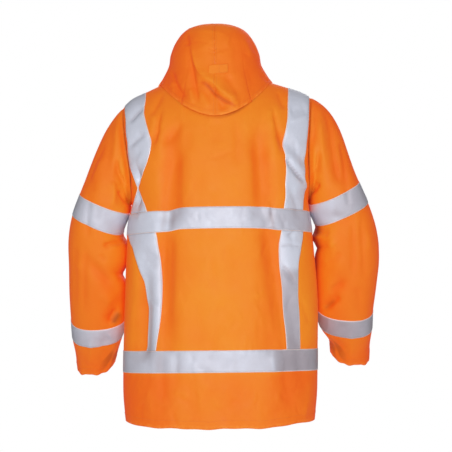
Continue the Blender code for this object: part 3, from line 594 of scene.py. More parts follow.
# Mesh cells between the body's lines, and down its stretches
BACK_CELLS = (22, 20, 44, 44, 20, 22)
HALF_FRONT_CELLS = (22, 20, 28, 8)
FRONT_CELLS = HALF_FRONT_CELLS + HALF_FRONT_CELLS[::-1]
# Which of the lines, counted from 0, are the edges of the braces and of the flap
BACK_BRACE_LINES = {"left": (1, 2), "right": (4, 5)}
FRONT_BRACE_LINES = {"left": (6, 7), "right": (1, 2)}
FLAP_LINES = (3, 5)
BODY_ROWS = [
    ("hem", HEM_Z, 26),
    ("hem_band_foot", HEM_BAND_FOOT, 14),
    ("hem_band_top", HEM_BAND_TOP, 64),
    ("chest_band_foot", CHEST_BAND_FOOT, 14),
    ("chest_band_top", CHEST_BAND_TOP, 6),
    ("armpit", ARMPIT_Z, 0),
]
UPPER_ROWS = 76
CAP_ROWS = 44
SLEEVE_ROWS = 14
SLEEVE_COLUMNS = 112
HOOD_CELLS = 170
TAB_CELLS = (22, 12)

# Seams: how deep the edges roll in, how the stitching puckers them, and where it runs
SEAM_ROLL = 1.3 * MM
SEAM_ROLL_REACH = 4.0 * MM
PUCKER = 0.45 * MM
PUCKER_REACH = 9 * MM
PUCKER_WAVE = 21 * MM
SEAM_GAP = 0.05 * MM
CLOSURE_GAP = 0.15 * MM
TAPE_END_GAP = 0.1 * MM
TAPE_EDGE_REACH = 2.5 * MM
HEM_TURN_UP = 20 * MM
CUFF_TURN_UP = 22 * MM
TOPSTITCH_INSET = 6 * MM
HEM_STITCH_INSET = 18 * MM
HOOD_HEM_INSET = 12 * MM
HOOD_SEAM_INSET = 4 * MM
HEM_FOLD = 0.5 * MM
HEM_STEP = (2 * MM, -3 * MM)
HEM_PUCKER = 0.6 * PUCKER
FLAP_SIDE_SEAM = {"roll": 0.8 * MM, "pucker": 0.3 * MM}
FLAP_END_SEAM = {"roll": 0.6 * MM, "pucker": 0.0}
HOOD_SEAM = {"roll": 0.5 * MM, "pucker": 0.3 * MM}

# Uneven waves, as sums of sines: each one's size, its count to one of the phase, and its start
PUCKER_WANDER = ((1.9, 1 / 4.3, 0.7), (0.8, 1 / 2.6, 0.0))
PUCKER_SWELL = ((0.35, 1 / 3.1, 2.0),)
PUCKER_MEAN = 0.65
HEM_WAVE = 21 * MM
HEM_WAVES = ((1.0, 1.0, 0.0), (0.6, 2.3, 1.1), (0.5, 0.6, 2.0))
HEM_SWAY = 1.1 * MM
CUFF_WAVES = ((0.9, 2, 0.4), (0.7, 5, 2.1), (0.5, 9, 4.0), (0.35, 14, 1.3))
CUFF_SWAY = 2.4 * MM
CUFF_STATION = 6

# A piece as it was cut, before it was sewn on: its width, its length and how much of that rectangle it
# fills. Sleeves, hood halves and panels are measured along their widest lines. No piece is given one
# here.
Cut = namedtuple("Cut", "width length fill", defaults=(1.0,))

Thread = namedtuple("Thread", "pitch length width")
TAPE_THREAD = Thread(3.4 * MM, 2.5 * MM, 0.55 * MM)
CLOTH_THREAD = Thread(3.6 * MM, 2.7 * MM, 0.6 * MM)
# A stitch's cross-sections: the place along it, as a share of its length, and the size there
STITCH_SECTIONS = ((-0.5, 0.35), (-0.3, 1.0), (0.3, 1.0), (0.5, 0.35))
STITCH_SIDES = ((-1, 0), (0, 1), (1, 0), (0, -1))
STITCH_SINK = 0.6

# Tone goes from the lit orange (0) to the deep, shaded one (1), or from light, lit tape (0) to dark,
# shaded tape (1). A point's tone is the sum of those that hold there.
BODY_TONE = 0.24
# Painted light on the body's side panels, and painted shade below the hem band, more at its sides
SIDE_PANEL_PAINTED_LIGHT = -0.30
HEM_PAINTED_SHADE = 0.22
HEM_SIDE_PAINTED_SHADE = 0.26
# Painted shade over the sleeves, painted light on their inner sides, and on their outer sides painted
# light on the left and painted shade on the right. The cuffs are deeper.
SLEEVE_PAINTED_SHADE = 0.50
SLEEVE_INNER_PAINTED_LIGHT = -0.5
SLEEVE_OUTER_PAINTED_LIGHT_AND_SHADE = {"left": -0.15, "right": 0.2}
CUFF_TONE = 0.25
# Painted shade over the hood, more at its sides, painted light on its crown and deep painted shade
# along the line under its fold. The tab is a little lighter than the hood.
HOOD_PAINTED_SHADE = 0.50
HOOD_SIDE_PAINTED_SHADE = 0.24
HOOD_CROWN_PAINTED_LIGHT = -0.45
HOOD_LINE_PAINTED_SHADE = 1.6
TAB_TONE = -0.15
# Painted light on ridges and painted shade in troughs, for each millimetre of relief
RIDGE_PAINTED_LIGHT = 0.032
TROUGH_PAINTED_SHADE = 0.036
# The tape's base tone; painted light on the braces, less of it low on the right; painted shade on the
# chest band's right part, low on the right, at a sleeve band's inner end and on an upper arm band's
# outer part; painted light and shade from the relief
TAPE_TONE = 0.20
BRACE_PAINTED_LIGHT = -0.38
BRACE_LOW_LOSS = 0.6
TAPE_SIDE_PAINTED_SHADE = 0.55
TAPE_LOW_PAINTED_SHADE = 0.52
CUFF_BAND_PAINTED_SHADE = 1.3
ARM_BAND_PAINTED_SHADE = 0.3
TAPE_RELIEF_LIGHT_AND_SHADE = 0.024

# Where those tones start, and how far on they are complete, in millimetres or degrees. Three
# numbers are a band: where it starts, where it ends, and how soft its ends are.
HEM_TONED = (HEM_BAND_FOOT / MM + 8, -20)
HEM_SIDES_TONED = (85, 40)
SIDE_PANELS_TONED = (160, 30)
SIDE_PANELS_HEIGHTS = (-620, -420, 40)
SLEEVE_INNER_TONED = (105, 35)
SLEEVE_OUTER_TONED = (70, -40)
HOOD_MIDDLE = -8
HOOD_SIDES_TONED = (30, 50)
HOOD_CROWN_TONED = (85, 30)
BRACES_TONED = (145, 215, 50)
BRACES_FOOT = (-660, 60)
TAPE_SIDE_TONED = (95, 50)
TAPE_LOW_TONED = (-452, -25)
CHEST_TONED = (-372, -326, 3)
CHEST_TONED_END = (220, -10)
# Where the painted shade at the right lower sleeve band's inner end lies, and where the right upper
# arm band's outer part takes painted shade
CUFF_BAND_SHADED_PLACE = ((225, 252, 10), (-600, -540, 12))
ARM_BAND_TONED = ((262, 15), (-345, 10))
TAPE_SHADE_LINES_END = 217

# Painted shade and shadow, darker mottles on the cuffs, and wear, from 0 to 1, and where they are
# Painted shade along the armhole seams, on the body and on the sleeves
ARMHOLE_PAINTED_SHADE = 0.9
ARMHOLE_PAINTED_SHADE_START = 0.04
ARMHOLE_PAINTED_SHADE_REACH = {"body": 2.6 * MM, "sleeve": 3 * MM}
# Darker mottles low on the inner side of each cuff
CUFF_MOTTLE = 0.42
CUFF_MOTTLE_INNER = (85, 40)
CUFF_MOTTLE_FULL = 0.5
MOTTLE_MEAN = 0.5
MOTTLE_ROUND = ((1.0, 5.0, 1.0),)
MOTTLE_BEND = ((2.3, 3.0, 0.0),)
MOTTLE_DOWN = 9.0
# Where the painted shade on the sleeves' inner sides reaches
SLEEVE_SHADE_REACH = 26
SLEEVE_SHADE_HEIGHTS = (-600, -300, 50)
# Deep painted shade along the line under the hood's fold
HOOD_LINE_DEEP_PAINTED_SHADE = 0.36
# Painted shade where the hood covers the body, and painted shadow just below the hood's edge
HOOD_COVERED_SHADE = 0.55
HOOD_COVERED = (5, 12)
HOOD_SHADOW = 0.16
HOOD_SHADOW_DEEPER = 0.3
HOOD_SHADOW_DEEPEST = (42, 34)
HOOD_SHADOW_REACH = 3.5
EDGE_WEAR_REACH = 5 * MM
TAB_WEAR = 0.15


# ---------------------------------------------------------------- curves and tables


def hermite(t, start, start_way, end, end_way):
    """A smooth curve from start (t = 0) to end (t = 1) that leaves and arrives along the ways."""
    leaving = (2 * t**3 - 3 * t**2 + 1) * start + (t**3 - 2 * t**2 + t) * start_way
    return leaving + (3 * t**2 - 2 * t**3) * end + (t**3 - t**2) * end_way


def follow(xs, ys, at):
    """A smooth curve through the points (xs, ys), read at the places in at."""
    xs = np.asarray(xs, float)
    ys = np.asarray(ys, float)
    at = np.clip(np.asarray(at, float), xs[0], xs[-1])
    step = np.diff(xs)
    rise = np.diff(ys) / step
    inner = (rise[:-1] * step[1:] + rise[1:] * step[:-1]) / (step[:-1] + step[1:])
    slope = np.concatenate([rise[:1], inner, rise[-1:]])
    cell = np.clip(np.searchsorted(xs, at, side="right") - 1, 0, len(step) - 1)
    length = step[cell]
    t = (at - xs[cell]) / length
    return hermite(t, ys[cell], length * slope[cell], ys[cell + 1], length * slope[cell + 1])


def column(table, name):
    return np.array([getattr(row, name) for row in table], float)


def along(table, key, name, at):
    """One column of a table, followed along another."""
    return follow(column(table, key), column(table, name), at)


def read(table, key, name, at):
    """A column in millimetres followed along another, both given and returned in metres."""
    return MM * along(table, key, name, np.asarray(at) / MM)


def smoothstep(value):
    value = np.clip(value, 0.0, 1.0)
    return value * value * (3.0 - 2.0 * value)


def ramp(value, start, width):
    """0 up to start and 1 from a width further on; a width below 0 goes towards smaller values."""
    return smoothstep((value - start) / width)


def band_between(value, low, high, soft):
    """1 between two values, falling to 0 within a distance outside them."""
    return smoothstep((value - low) / soft + 1.0) * smoothstep((high - value) / soft + 1.0)


def bell(distance, reach, sharpness=2):
    """1 at no distance, falling off smoothly at about the reach."""
    return np.exp(-((distance / reach) ** sharpness))


def waves(phase, parts):
    return sum(size * np.sin(phase * count + start) for size, count, start in parts)


def run_along(points, axis=0):
    """How far each point lies along the lines of points that run along this axis."""
    step = np.linalg.norm(np.diff(points, axis=axis), axis=-1)
    first = np.zeros_like(np.take(step, [0], axis=axis))
    return np.concatenate([first, np.cumsum(step, axis=axis)], axis=axis)


# ---------------------------------------------------------------- the body's surface


def tilt_of(climb):
    return np.clip(climb, 0.0, 1.0) * np.pi / 2


def body_frame(climb):
    """Centre and half width of the body's cross-section, as seen from behind."""
    z = ARMPIT_Z + np.minimum(climb, 0.0)
    rise = np.sin(tilt_of(climb))
    left, right = (MM * along(ARMHOLE, "rise", side, rise) for side in ("left", "right"))
    above = np.asarray(climb) > 0
    centre = np.where(above, (right - left) / 2, read(TORSO, "z", "centre", z))
    half = np.where(above, (right + left) / 2, read(TORSO, "z", "half_width", z))
    return centre, half


def turn_at(x, climb):
    """The turn, in radians, at which the cross-section at this climb passes x."""
    centre, half = body_frame(climb)
    across = np.clip((x - centre) / half, -1.0, 1.0)
    return np.sign(across) * np.arcsin(np.abs(across) ** (OVAL / 2))


def top_edge(face, x):
    """The shoulder seam and the neckline: y and z above each x."""
    reach = np.abs(x)
    left, right = (read(SHOULDER, "x", side, reach) for side in ("left", "right"))
    shoulder = np.where(x < 0, left, right)
    dip = np.sqrt(np.clip(1.0 - (reach / NECK_HALF) ** 2, 0.0, 1.0))
    neck_y = NECK_BACK_Y if face < 0 else NECK_FRONT_Y
    neck_z = NECK_BACK_Z if face < 0 else NECK_FRONT_Z
    return neck_y * dip, np.where(reach < NECK_HALF, neck_z * dip, shoulder)


def body_point(face, turn, climb):
    """A point of the body cloth's middle surface.

    face is -1 for the back and 1 for the front. turn goes round from -90 degrees at the left side
    seam to 90 degrees at the right one. climb is the height over the armpit while it is below 0,
    and from 0 to 1 it goes on up to the shoulder seam and the neckline.
    """
    turn, climb = np.broadcast_arrays(np.asarray(turn, float), np.asarray(climb, float))
    across = np.sign(turn) * np.abs(np.sin(turn)) ** (2 / OVAL)
    centre, half = body_frame(climb)
    x = centre + half * across
    z_low = ARMPIT_Z + np.minimum(climb, 0.0)
    tilt = tilt_of(climb)
    swell_tilt = np.minimum(tilt / np.radians(ARMHOLE_SWELL_TILT), 1.0) * np.pi / 2
    swell = 1.0 + ARMHOLE_SWELL * np.sin(swell_tilt)
    depth = read(TORSO, "z", "back" if face < 0 else "front", z_low)
    oval = np.clip(1.0 - (np.abs(across) / swell) ** OVAL, 0.0, 1.0) ** (1 / OVAL)
    y_low = face * depth * oval
    y_top, z_top = top_edge(face, x)
    y = y_top + (y_low - y_top) * np.cos(tilt) ** (2 / SHOULDER_OVAL)
    z = z_low + (z_top - ARMPIT_Z) * np.sin(tilt) ** (2 / SHOULDER_OVAL)
    z = z + read(TORSO, "z", "rise", z_low) * (np.cos(turn) * np.cos(tilt)) ** 2
    y = np.where(climb > 0, y, y_low)
    return np.stack([x, y, z], axis=-1)


def surface_normals(grid, ring=False):
    """Unit normals of a grid's points, each the mean of the faces around it."""
    columns = np.concatenate([grid[:, -1:], grid, grid[:, :1]], axis=1) if ring else grid
    along = np.gradient(columns, axis=1)
    if ring:
        along = along[:, 1:-1]
    normal = np.cross(along, np.gradient(grid, axis=0))
    length = np.linalg.norm(normal, axis=-1, keepdims=True)
    return normal / np.maximum(length, LEAST_NORMAL)


# ---------------------------------------------------------------- folds and creases


def smooth_path(points):
    """The path's points in metres, with more between them on a smooth curve."""
    points = MM * np.array(points, float)
    if len(points) == 2:
        share = np.linspace(0.0, 1.0, PATH_STEPS)[:, None]
        return points[0] * (1 - share) + points[1] * share
    places = np.arange(len(points))
    at = np.linspace(0, len(points) - 1, (len(points) - 1) * PATH_STEPS + 1)
    return np.stack([follow(places, points[:, axis], at) for axis in (0, 1)], axis=-1)


def fold_push(grid, fold, tapered=True):
    """How far a fold moves the grid's points along their normals."""
    place = grid[..., [0, 2]]
    path = smooth_path(fold.path)
    start = run_along(path)
    nearest = np.full(place.shape[:-1], np.inf)
    side = np.zeros(place.shape[:-1])
    along = np.zeros(place.shape[:-1])
    for number, here in enumerate(path[:-1]):
        way = path[number + 1] - here
        length = np.linalg.norm(way)
        way = way / length
        offset = place - here
        t = np.clip(offset @ way, 0.0, length)
        gap = offset - t[..., None] * way
        distance = np.linalg.norm(gap, axis=-1)
        closer = distance < nearest
        nearest = np.where(closer, distance, nearest)
        side = np.where(closer, np.sign(way[0] * gap[..., 1] - way[1] * gap[..., 0]), side)
        along = np.where(closer, start[number] + t, along)
    reach = MM * fold.width * (1.0 - fold.lean * side * LEAN_REACH)
    if not tapered:
        return MM * fold.depth * bell(nearest, reach)
    share = along / start[-1]
    ends = [smoothstep(rest / END_TAPER + END_TAPER_LEAST) for rest in (share, 1 - share)]
    return MM * fold.depth * bell(nearest, reach, FOLD_SHARPNESS) * ends[0] * ends[1]


def folded(grid, folds, face, strength, tapered=True, ring=False, outward=1.0):
    """Pushes the grid out along ridges and in along troughs, on the side that faces face."""
    normals = surface_normals(grid, ring) * outward
    facing = np.clip(face * normals[..., 1], 0.0, 1.0) ** 0.5 * strength
    push = sum(fold_push(grid, fold, tapered) for fold in folds)
    return grid + normals * (push * facing)[..., None]


def relief_light_and_shade(relief):
    """Painted shade makes troughs deeper in tone, and painted light makes ridges lighter."""
    return -np.where(relief < 0, TROUGH_PAINTED_SHADE, RIDGE_PAINTED_LIGHT) * relief


def relief_of(grid, smooth, ring=False, outward=1.0):
    """How far the cloth stands out from its smooth surface, in millimetres and within limits."""
    normals = surface_normals(smooth, ring) * outward
    relief = ((grid - smooth) * normals).sum(axis=-1) / MM
    return np.clip(relief, -MOST_RELIEF, MOST_RELIEF)


def wrinkles(scatter):
    """The small folds of a scatter, most of them in about the same direction."""
    draw = np.random.default_rng(scatter.seed)
    made = []
    for _ in range(scatter.count):
        x = draw.uniform(*scatter.x_span)
        z = draw.uniform(*scatter.z_span)
        angle = np.radians(draw.normal(SCATTER_UPRIGHT, scatter.turn))
        half = draw.uniform(*SCATTER_HALF) * scatter.size
        bend = draw.uniform(*SCATTER_BEND) * scatter.size
        dx, dz = half * np.cos(angle), half * np.sin(angle)
        path = ((x - dx, z - dz), (x + bend, z), (x + dx, z + dz))
        depth = draw.uniform(*SCATTER_DEPTH) * draw.choice([-1, 1])
        width = draw.uniform(*SCATTER_WIDTH) * scatter.size**0.5
        made.append(Fold(path, width, depth))
    return made


# ---------------------------------------------------------------- edges and seams

# Each edge's points in a grid, and the ones next to them
EDGES = {
    "left": (np.s_[:, 0], np.s_[:, 1]),
    "right": (np.s_[:, -1], np.s_[:, -2]),
    "foot": (np.s_[0], np.s_[1]),
    "top": (np.s_[-1], np.s_[-2]),
}
UPRIGHT_EDGES = ("left", "right")
FAR_EDGES = ("right", "top")


def distance_from(grid, edge):
    """Each point's distance from an edge of the grid, measured on the cloth."""
    axis = 1 if edge in UPRIGHT_EDGES else 0
    run = run_along(grid, axis)
    if edge in FAR_EDGES:
        run = np.take(run, [-1], axis=axis) - run
    return run


def nearest_edge(grid, edges):
    """Each point's distance from the nearest of these edges."""
    return np.minimum.reduce([distance_from(grid, edge) for edge in edges])


def seam_wave(grid, edge):
    """An uneven wave along a seam, for every point beside it."""
    phase = 2 * np.pi * run_along(grid[EDGES[edge][0]]) / PUCKER_WAVE
    swell = PUCKER_MEAN + waves(phase, PUCKER_SWELL)
    wave = np.sin(phase + waves(phase, PUCKER_WANDER)) * swell
    return wave[:, None] if edge in UPRIGHT_EDGES else wave[None, :]


def seamed(grid, edges, ring=False, roll=SEAM_ROLL, pucker=PUCKER):
    """The grid with these edges rolled in, and puckered by the stitching beside them."""
    push = np.zeros(grid.shape[:-1])
    for edge in edges:
        distance = distance_from(grid, edge)
        push -= roll * bell(distance, SEAM_ROLL_REACH)
        push += pucker * seam_wave(grid, edge) * bell(distance, PUCKER_REACH)
    return grid + surface_normals(grid, ring) * push[..., None]


def hemmed(grid, edge, width, ring=False):
    """The grid with a turned-up hem along an edge: a slightly thicker strip that ends in a step."""
    distance = distance_from(grid, edge) - width
    ripple = HEM_PUCKER * seam_wave(grid, edge) * bell(distance, PUCKER_REACH)
    push = HEM_FOLD * ramp(distance, *HEM_STEP) + ripple
    return grid + surface_normals(grid, ring) * push[..., None]


def pulled_in(grid, edges, distance):
    """The grid with these edges moved inwards by a distance."""
    grid = grid.copy()
    for edge in edges:
        here, inner = EDGES[edge]
        way = grid[inner] - grid[here]
        length = np.linalg.norm(way, axis=-1, keepdims=True)
        grid[here] = grid[here] + way / np.maximum(length, TINY) * np.minimum(distance, length / 2)
    return grid


def points_at(places, run, values):
    """The values of a line of points, read at these places along it."""
    return np.stack([np.interp(places, run, values[:, axis]) for axis in range(3)], axis=-1)


def stitch_row(grid, edge, inset, ring=False):
    """Points along a line of stitching beside an edge, and the cloth's normals there."""
    normals = surface_normals(grid, ring)
    if ring:
        grid, normals = (
            np.concatenate([values, values[:, :1]], axis=1) for values in (grid, normals)
        )
    run = distance_from(grid, edge)
    if edge not in UPRIGHT_EDGES:
        run, grid, normals = run.T, np.swapaxes(grid, 0, 1), np.swapaxes(normals, 0, 1)
    if edge in FAR_EDGES:
        run, grid, normals = run[:, ::-1], grid[:, ::-1], normals[:, ::-1]
    return tuple(
        np.array([points_at(inset, line, value) for line, value in zip(run, values)])
        for values in (grid, normals)
    )


# ---------------------------------------------------------------- back and fronts


def band_rows():
    """The climb of every row, and the row number of each tape edge."""
    climbs = []
    number = {}
    for (name, z, cells), following in zip(BODY_ROWS, BODY_ROWS[1:] + BODY_ROWS[-1:]):
        number[name] = len(climbs)
        climbs += [z + (following[1] - z) * i / cells - ARMPIT_Z for i in range(cells)]
    climbs += [i / UPPER_ROWS for i in range(UPPER_ROWS + 1)]
    number["shoulder"] = len(climbs) - 1
    return np.array(climbs), number


def brace_level(climb):
    """The height at which the brace tables are read for a row."""
    top = MM * BACK_BRACES[-1].z
    return ARMPIT_Z + np.minimum(climb, 0.0) + (top - ARMPIT_Z) * np.sin(tilt_of(climb))


def anchor_turns(table, climbs, with_flap):
    """The turns of the lines that every row passes, from the left side seam to the right one."""
    level = brace_level(climbs)
    centre, _ = body_frame(climbs)
    edge = np.full(len(climbs), np.pi / 2)
    flap = [FLAP_HALF] if with_flap else []
    lines = [-edge]
    lines += [turn_at(-read(table, "z", name, level), climbs) for name in ("left_out", "left_in")]
    lines += [turn_at(centre - half, climbs) for half in flap]
    lines.append(0.0 * edge)
    lines += [turn_at(centre + half, climbs) for half in flap]
    lines += [turn_at(read(table, "z", name, level), climbs) for name in ("right_in", "right_out")]
    lines.append(edge)
    return lines


def spread(lines, cells):
    """Every row's turns: each stretch between two lines is cut into equal cells."""
    parts = []
    for start, end, count in zip(lines[:-1], lines[1:], cells):
        share = np.arange(count) / count
        parts.append(start[:, None] * (1 - share) + end[:, None] * share)
    parts.append(lines[-1][:, None])
    return np.concatenate(parts, axis=1)


def edge_fade(turns, climbs):
    """1 inside a panel, falling to 0 at its side seams, armholes and shoulder seams."""
    return ramp(np.abs(turns), *FADE_AT_SIDES) * ramp(climbs, *FADE_AT_TOP)[:, None]


def crease_fade(grid):
    """1 inside a panel, falling to 0 within a few millimetres of its seams."""
    return smoothstep(nearest_edge(grid, ("left", "right", "top")) / CREASE_EDGE_FADE)


def groove_depth(rise):
    return MM * np.interp(rise, GROOVE_RISE, GROOVE_DEPTH)


def grooved_body(grid, climbs, face):
    """The body's cloth with its armhole edges sunk in, away from the viewer of that face."""
    depth = groove_depth(np.clip(climbs, 0.0, 1.0)) * ramp(climbs, -GROOVE_BELOW, GROOVE_BELOW)
    near = nearest_edge(grid, ("left", "right"))
    grid = grid.copy()
    grid[..., 1] -= face * depth[:, None] * bell(near, GROOVE_BODY_REACH)
    return grid


def tucked(grid, climbs):
    """The back with its left brace pinched in along its middle, into a deep pleat."""
    first, count = BACK_CELLS[:2]
    tuck = read(BACK_BRACES, "z", "left_tuck", brace_level(climbs))
    share = np.arange(count + 1) / count
    depth = tuck[:, None] * (1.0 - np.abs(2.0 * share - 1.0)) ** TUCK_SHARPNESS
    middle_normals = surface_normals(grid)[:, first + count // 2]
    grid = grid.copy()
    grid[:, first : first + count + 1] -= middle_normals[:, None] * depth[..., None]
    return grid


def drooped(grid):
    """The back with its chest band hanging lower towards both sides."""
    x, z = grid[..., 0] / MM, grid[..., 2] / MM
    droop = sum(
        MM * side.depth * ramp(sign * x, side.start, side.width) for sign, side in DROOPS.items()
    )
    grid = grid.copy()
    grid[..., 2] -= droop * band_between(z, *DROOP_HEIGHTS)
    return grid


def swayed(grid):
    """The body's cloth with its hem a little uneven."""
    share = np.clip((HEM_BAND_FOOT - grid[..., 2]) / (HEM_BAND_FOOT - HEM_Z), 0.0, 1.0)
    grid = grid.copy()
    grid[..., 2] += HEM_SWAY * waves(grid[..., 0] / HEM_WAVE, HEM_WAVES) * share**2
    return grid


def eased(grid, strength):
    """The grid with kinks smoothed out of its rows, front to back."""
    soft = grid[..., 1].copy()
    for _ in range(EASE_PASSES):
        soft[:, 1:-1] = (soft[:, :-2] + 2 * soft[:, 1:-1] + soft[:, 2:]) / 4
    grid = grid.copy()
    grid[..., 1] += (soft - grid[..., 1]) * strength
    return grid


def back_grid():
    """The back, its relief, and the row number of each tape edge."""
    climbs, number = band_rows()
    turns = spread(anchor_turns(BACK_BRACES, climbs, False), BACK_CELLS)
    smooth = body_point(-1, turns, climbs[:, None])
    across = ramp(np.abs(smooth[..., 0]), *EASED_ACROSS)
    smooth = eased(smooth, across * ramp(climbs, *EASED_UP_TO)[:, None])
    strength = edge_fade(turns, climbs) * (1.0 - FOLDS_END_LOSS * ramp(smooth[..., 2], *FOLDS_END))
    grid = folded(smooth, BACK_FOLDS, -1, strength, tapered=False)
    fade = crease_fade(grid)
    for folds in [BACK_CREASES] + [wrinkles(scatter) for scatter in BACK_SCATTERS]:
        grid = folded(grid, folds, -1, fade)
    relief = relief_of(grid, smooth)
    grid = tucked(drooped(grid), climbs)
    return swayed(grooved_body(grid, climbs, -1)), relief, number


def front_grid():
    """Both fronts as one grid, from the right side seam to the left one, and its relief."""
    climbs, _ = band_rows()
    turns = spread(anchor_turns(FRONT_BRACES, climbs, True), FRONT_CELLS)[:, ::-1]
    smooth = body_point(1, turns, climbs[:, None])
    grid = folded(smooth, FRONT_FOLDS, 1, edge_fade(turns, climbs), tapered=False)
    fade = crease_fade(grid)
    for folds in (FRONT_CREASES, wrinkles(FRONT_SCATTER)):
        grid = folded(grid, folds, 1, fade)
    return swayed(grooved_body(grid, climbs, 1)), relief_of(grid, smooth)


# ---------------------------------------------------------------- sleeves


def armhole_point(sign, angle):
    """The armhole's edge: 0 at the shoulder tip, 90 at the back, 180 at the armpit, 270 in front."""
    turn = sign * np.pi / 2
    behind = body_point(-1, turn, np.clip((180.0 - angle) / 180.0, 0.0, 1.0))
    before = body_point(1, turn, np.clip((angle - 180.0) / 180.0, 0.0, 1.0))
    return np.where(angle[..., None] <= 180.0, behind, before)


def half_turn_of(angle):
    """How far an angle is from the shoulder tip, whichever way round."""
    return np.minimum(angle, 360.0 - angle)


def sleeve_ring(side, station, angle):
    """A point of the sleeve at a station number, which may lie between two rows of the table."""
    table = SLEEVES[side]
    sign = SIDE_SIGN[side]
    places = np.arange(len(table))
    value = {name: follow(places, column(table, name), station) for name in Station._fields}
    lean = np.radians(value["lean"])
    pitch = np.radians(value["pitch"])
    centre = MM * np.stack([sign * value["x"], value["y"], value["z"]], axis=-1)
    out = np.stack([sign * np.cos(lean), 0.0 * lean, np.sin(lean)], axis=-1)
    down = [sign * np.sin(lean) * np.cos(pitch), np.sin(pitch), -np.cos(lean) * np.cos(pitch)]
    down = np.stack(down, axis=-1)
    behind = -sign * np.cross(out, down)
    across, deep = np.cos(np.radians(angle)), np.sin(np.radians(angle))
    size = (np.abs(across) ** SLEEVE_OVAL + np.abs(deep) ** SLEEVE_OVAL) ** (-1 / SLEEVE_OVAL)
    across = MM * value["across"] * size * across
    deep = MM * value["deep"] * size * deep
    return centre + across[..., None] * out + deep[..., None] * behind, down


def sleeve_cap(side, share, angle):
    """A point between the armhole (share 0) and the first ring (share 1)."""
    start = armhole_point(SIDE_SIGN[side], angle)
    end, end_way = sleeve_ring(side, np.zeros_like(angle), angle)
    front_sign = np.where(angle <= 180.0, 1.0, -1.0)
    out, inward, down = (
        along(LEADS[side], "angle", name, half_turn_of(angle)) for name in ("out", "inward", "down")
    )
    start_way = np.stack([SIDE_SIGN[side] * out, front_sign * inward, -down], axis=-1)
    reach = np.linalg.norm(end - start, axis=-1, keepdims=True) * LEAD_REACH
    return hermite(share, start, reach * start_way, end, reach * end_way)


def sleeve_rows(side, angle):
    """The smooth sleeve from the armhole to the cuff, and the row number of each station."""
    rows = [sleeve_cap(side, i / CAP_ROWS, angle) for i in range(CAP_ROWS)]
    number = []
    last = len(SLEEVES[side]) - 1
    for place in range(last + 1):
        number.append(len(rows))
        count = SLEEVE_ROWS if place < last else 1
        for i in range(count):
            station = np.full(SLEEVE_COLUMNS, place + i / count)
            rows.append(sleeve_ring(side, station, angle)[0])
    return np.array(rows), number


def creased_sleeve(side, smooth):
    """The sleeve with its folds and creases, behind and in front."""
    fade = smoothstep(np.arange(len(smooth)) / CAP_ROWS)[:, None]
    grid = smooth
    for face, folds in ((-1, SLEEVE_BACK_FOLDS), (1, SLEEVE_FRONT_FOLDS)):
        grid = folded(grid, folds[side], face, fade, tapered=False, ring=True)
    fade = smoothstep(distance_from(grid, "foot") / CREASE_EDGE_FADE)
    small = wrinkles(SLEEVE_SCATTERS[side])
    half = len(small) // 2
    behind = (SLEEVE_BACK_CREASES[side], small[:half])
    before = (SLEEVE_FRONT_CREASES[side], small[half:])
    for of_face in zip(behind, before):
        for face, folds in zip((-1, 1), of_face):
            grid = folded(grid, folds, face, fade, ring=True)
    return grid


def sleeve_shade_and_mottle(side, grid, angle, near, cuff):
    """Where the sleeve is painted darker: painted shade on its inner side, in one hollow and along the
    armhole seam, and darker mottles low on the cuff's inner side.

    near is each point's distance from the armhole, and cuff goes from 0 to 1 down the cuff's rows.
    """
    half_turn = half_turn_of(angle)
    radians = np.radians(angle)
    strength, first = SLEEVE_SHADE[side]
    shade = strength * ramp(half_turn, first, SLEEVE_SHADE_REACH)
    shade = shade * band_between(grid[..., 2] / MM, *SLEEVE_SHADE_HEIGHTS)
    mottle = np.sin(cuff * MOTTLE_DOWN + waves(radians, MOTTLE_BEND))
    mottle = smoothstep(MOTTLE_MEAN + mottle * waves(radians, MOTTLE_ROUND))
    mottle = CUFF_MOTTLE * ramp(cuff, 0.0, CUFF_MOTTLE_FULL) * mottle
    mottle = mottle * ramp(half_turn, *CUFF_MOTTLE_INNER)
    hollow = fold_push(grid, SLEEVE_HOLLOWS[side]) / MM * (angle < 180.0)
    seam = ARMHOLE_PAINTED_SHADE * bell(near, ARMHOLE_PAINTED_SHADE_REACH["sleeve"])
    seam = seam * groove_depth(1.0 - half_turn / 180.0) / DEEPEST_GROOVE
    return np.maximum.reduce([shade, mottle, hollow, seam])


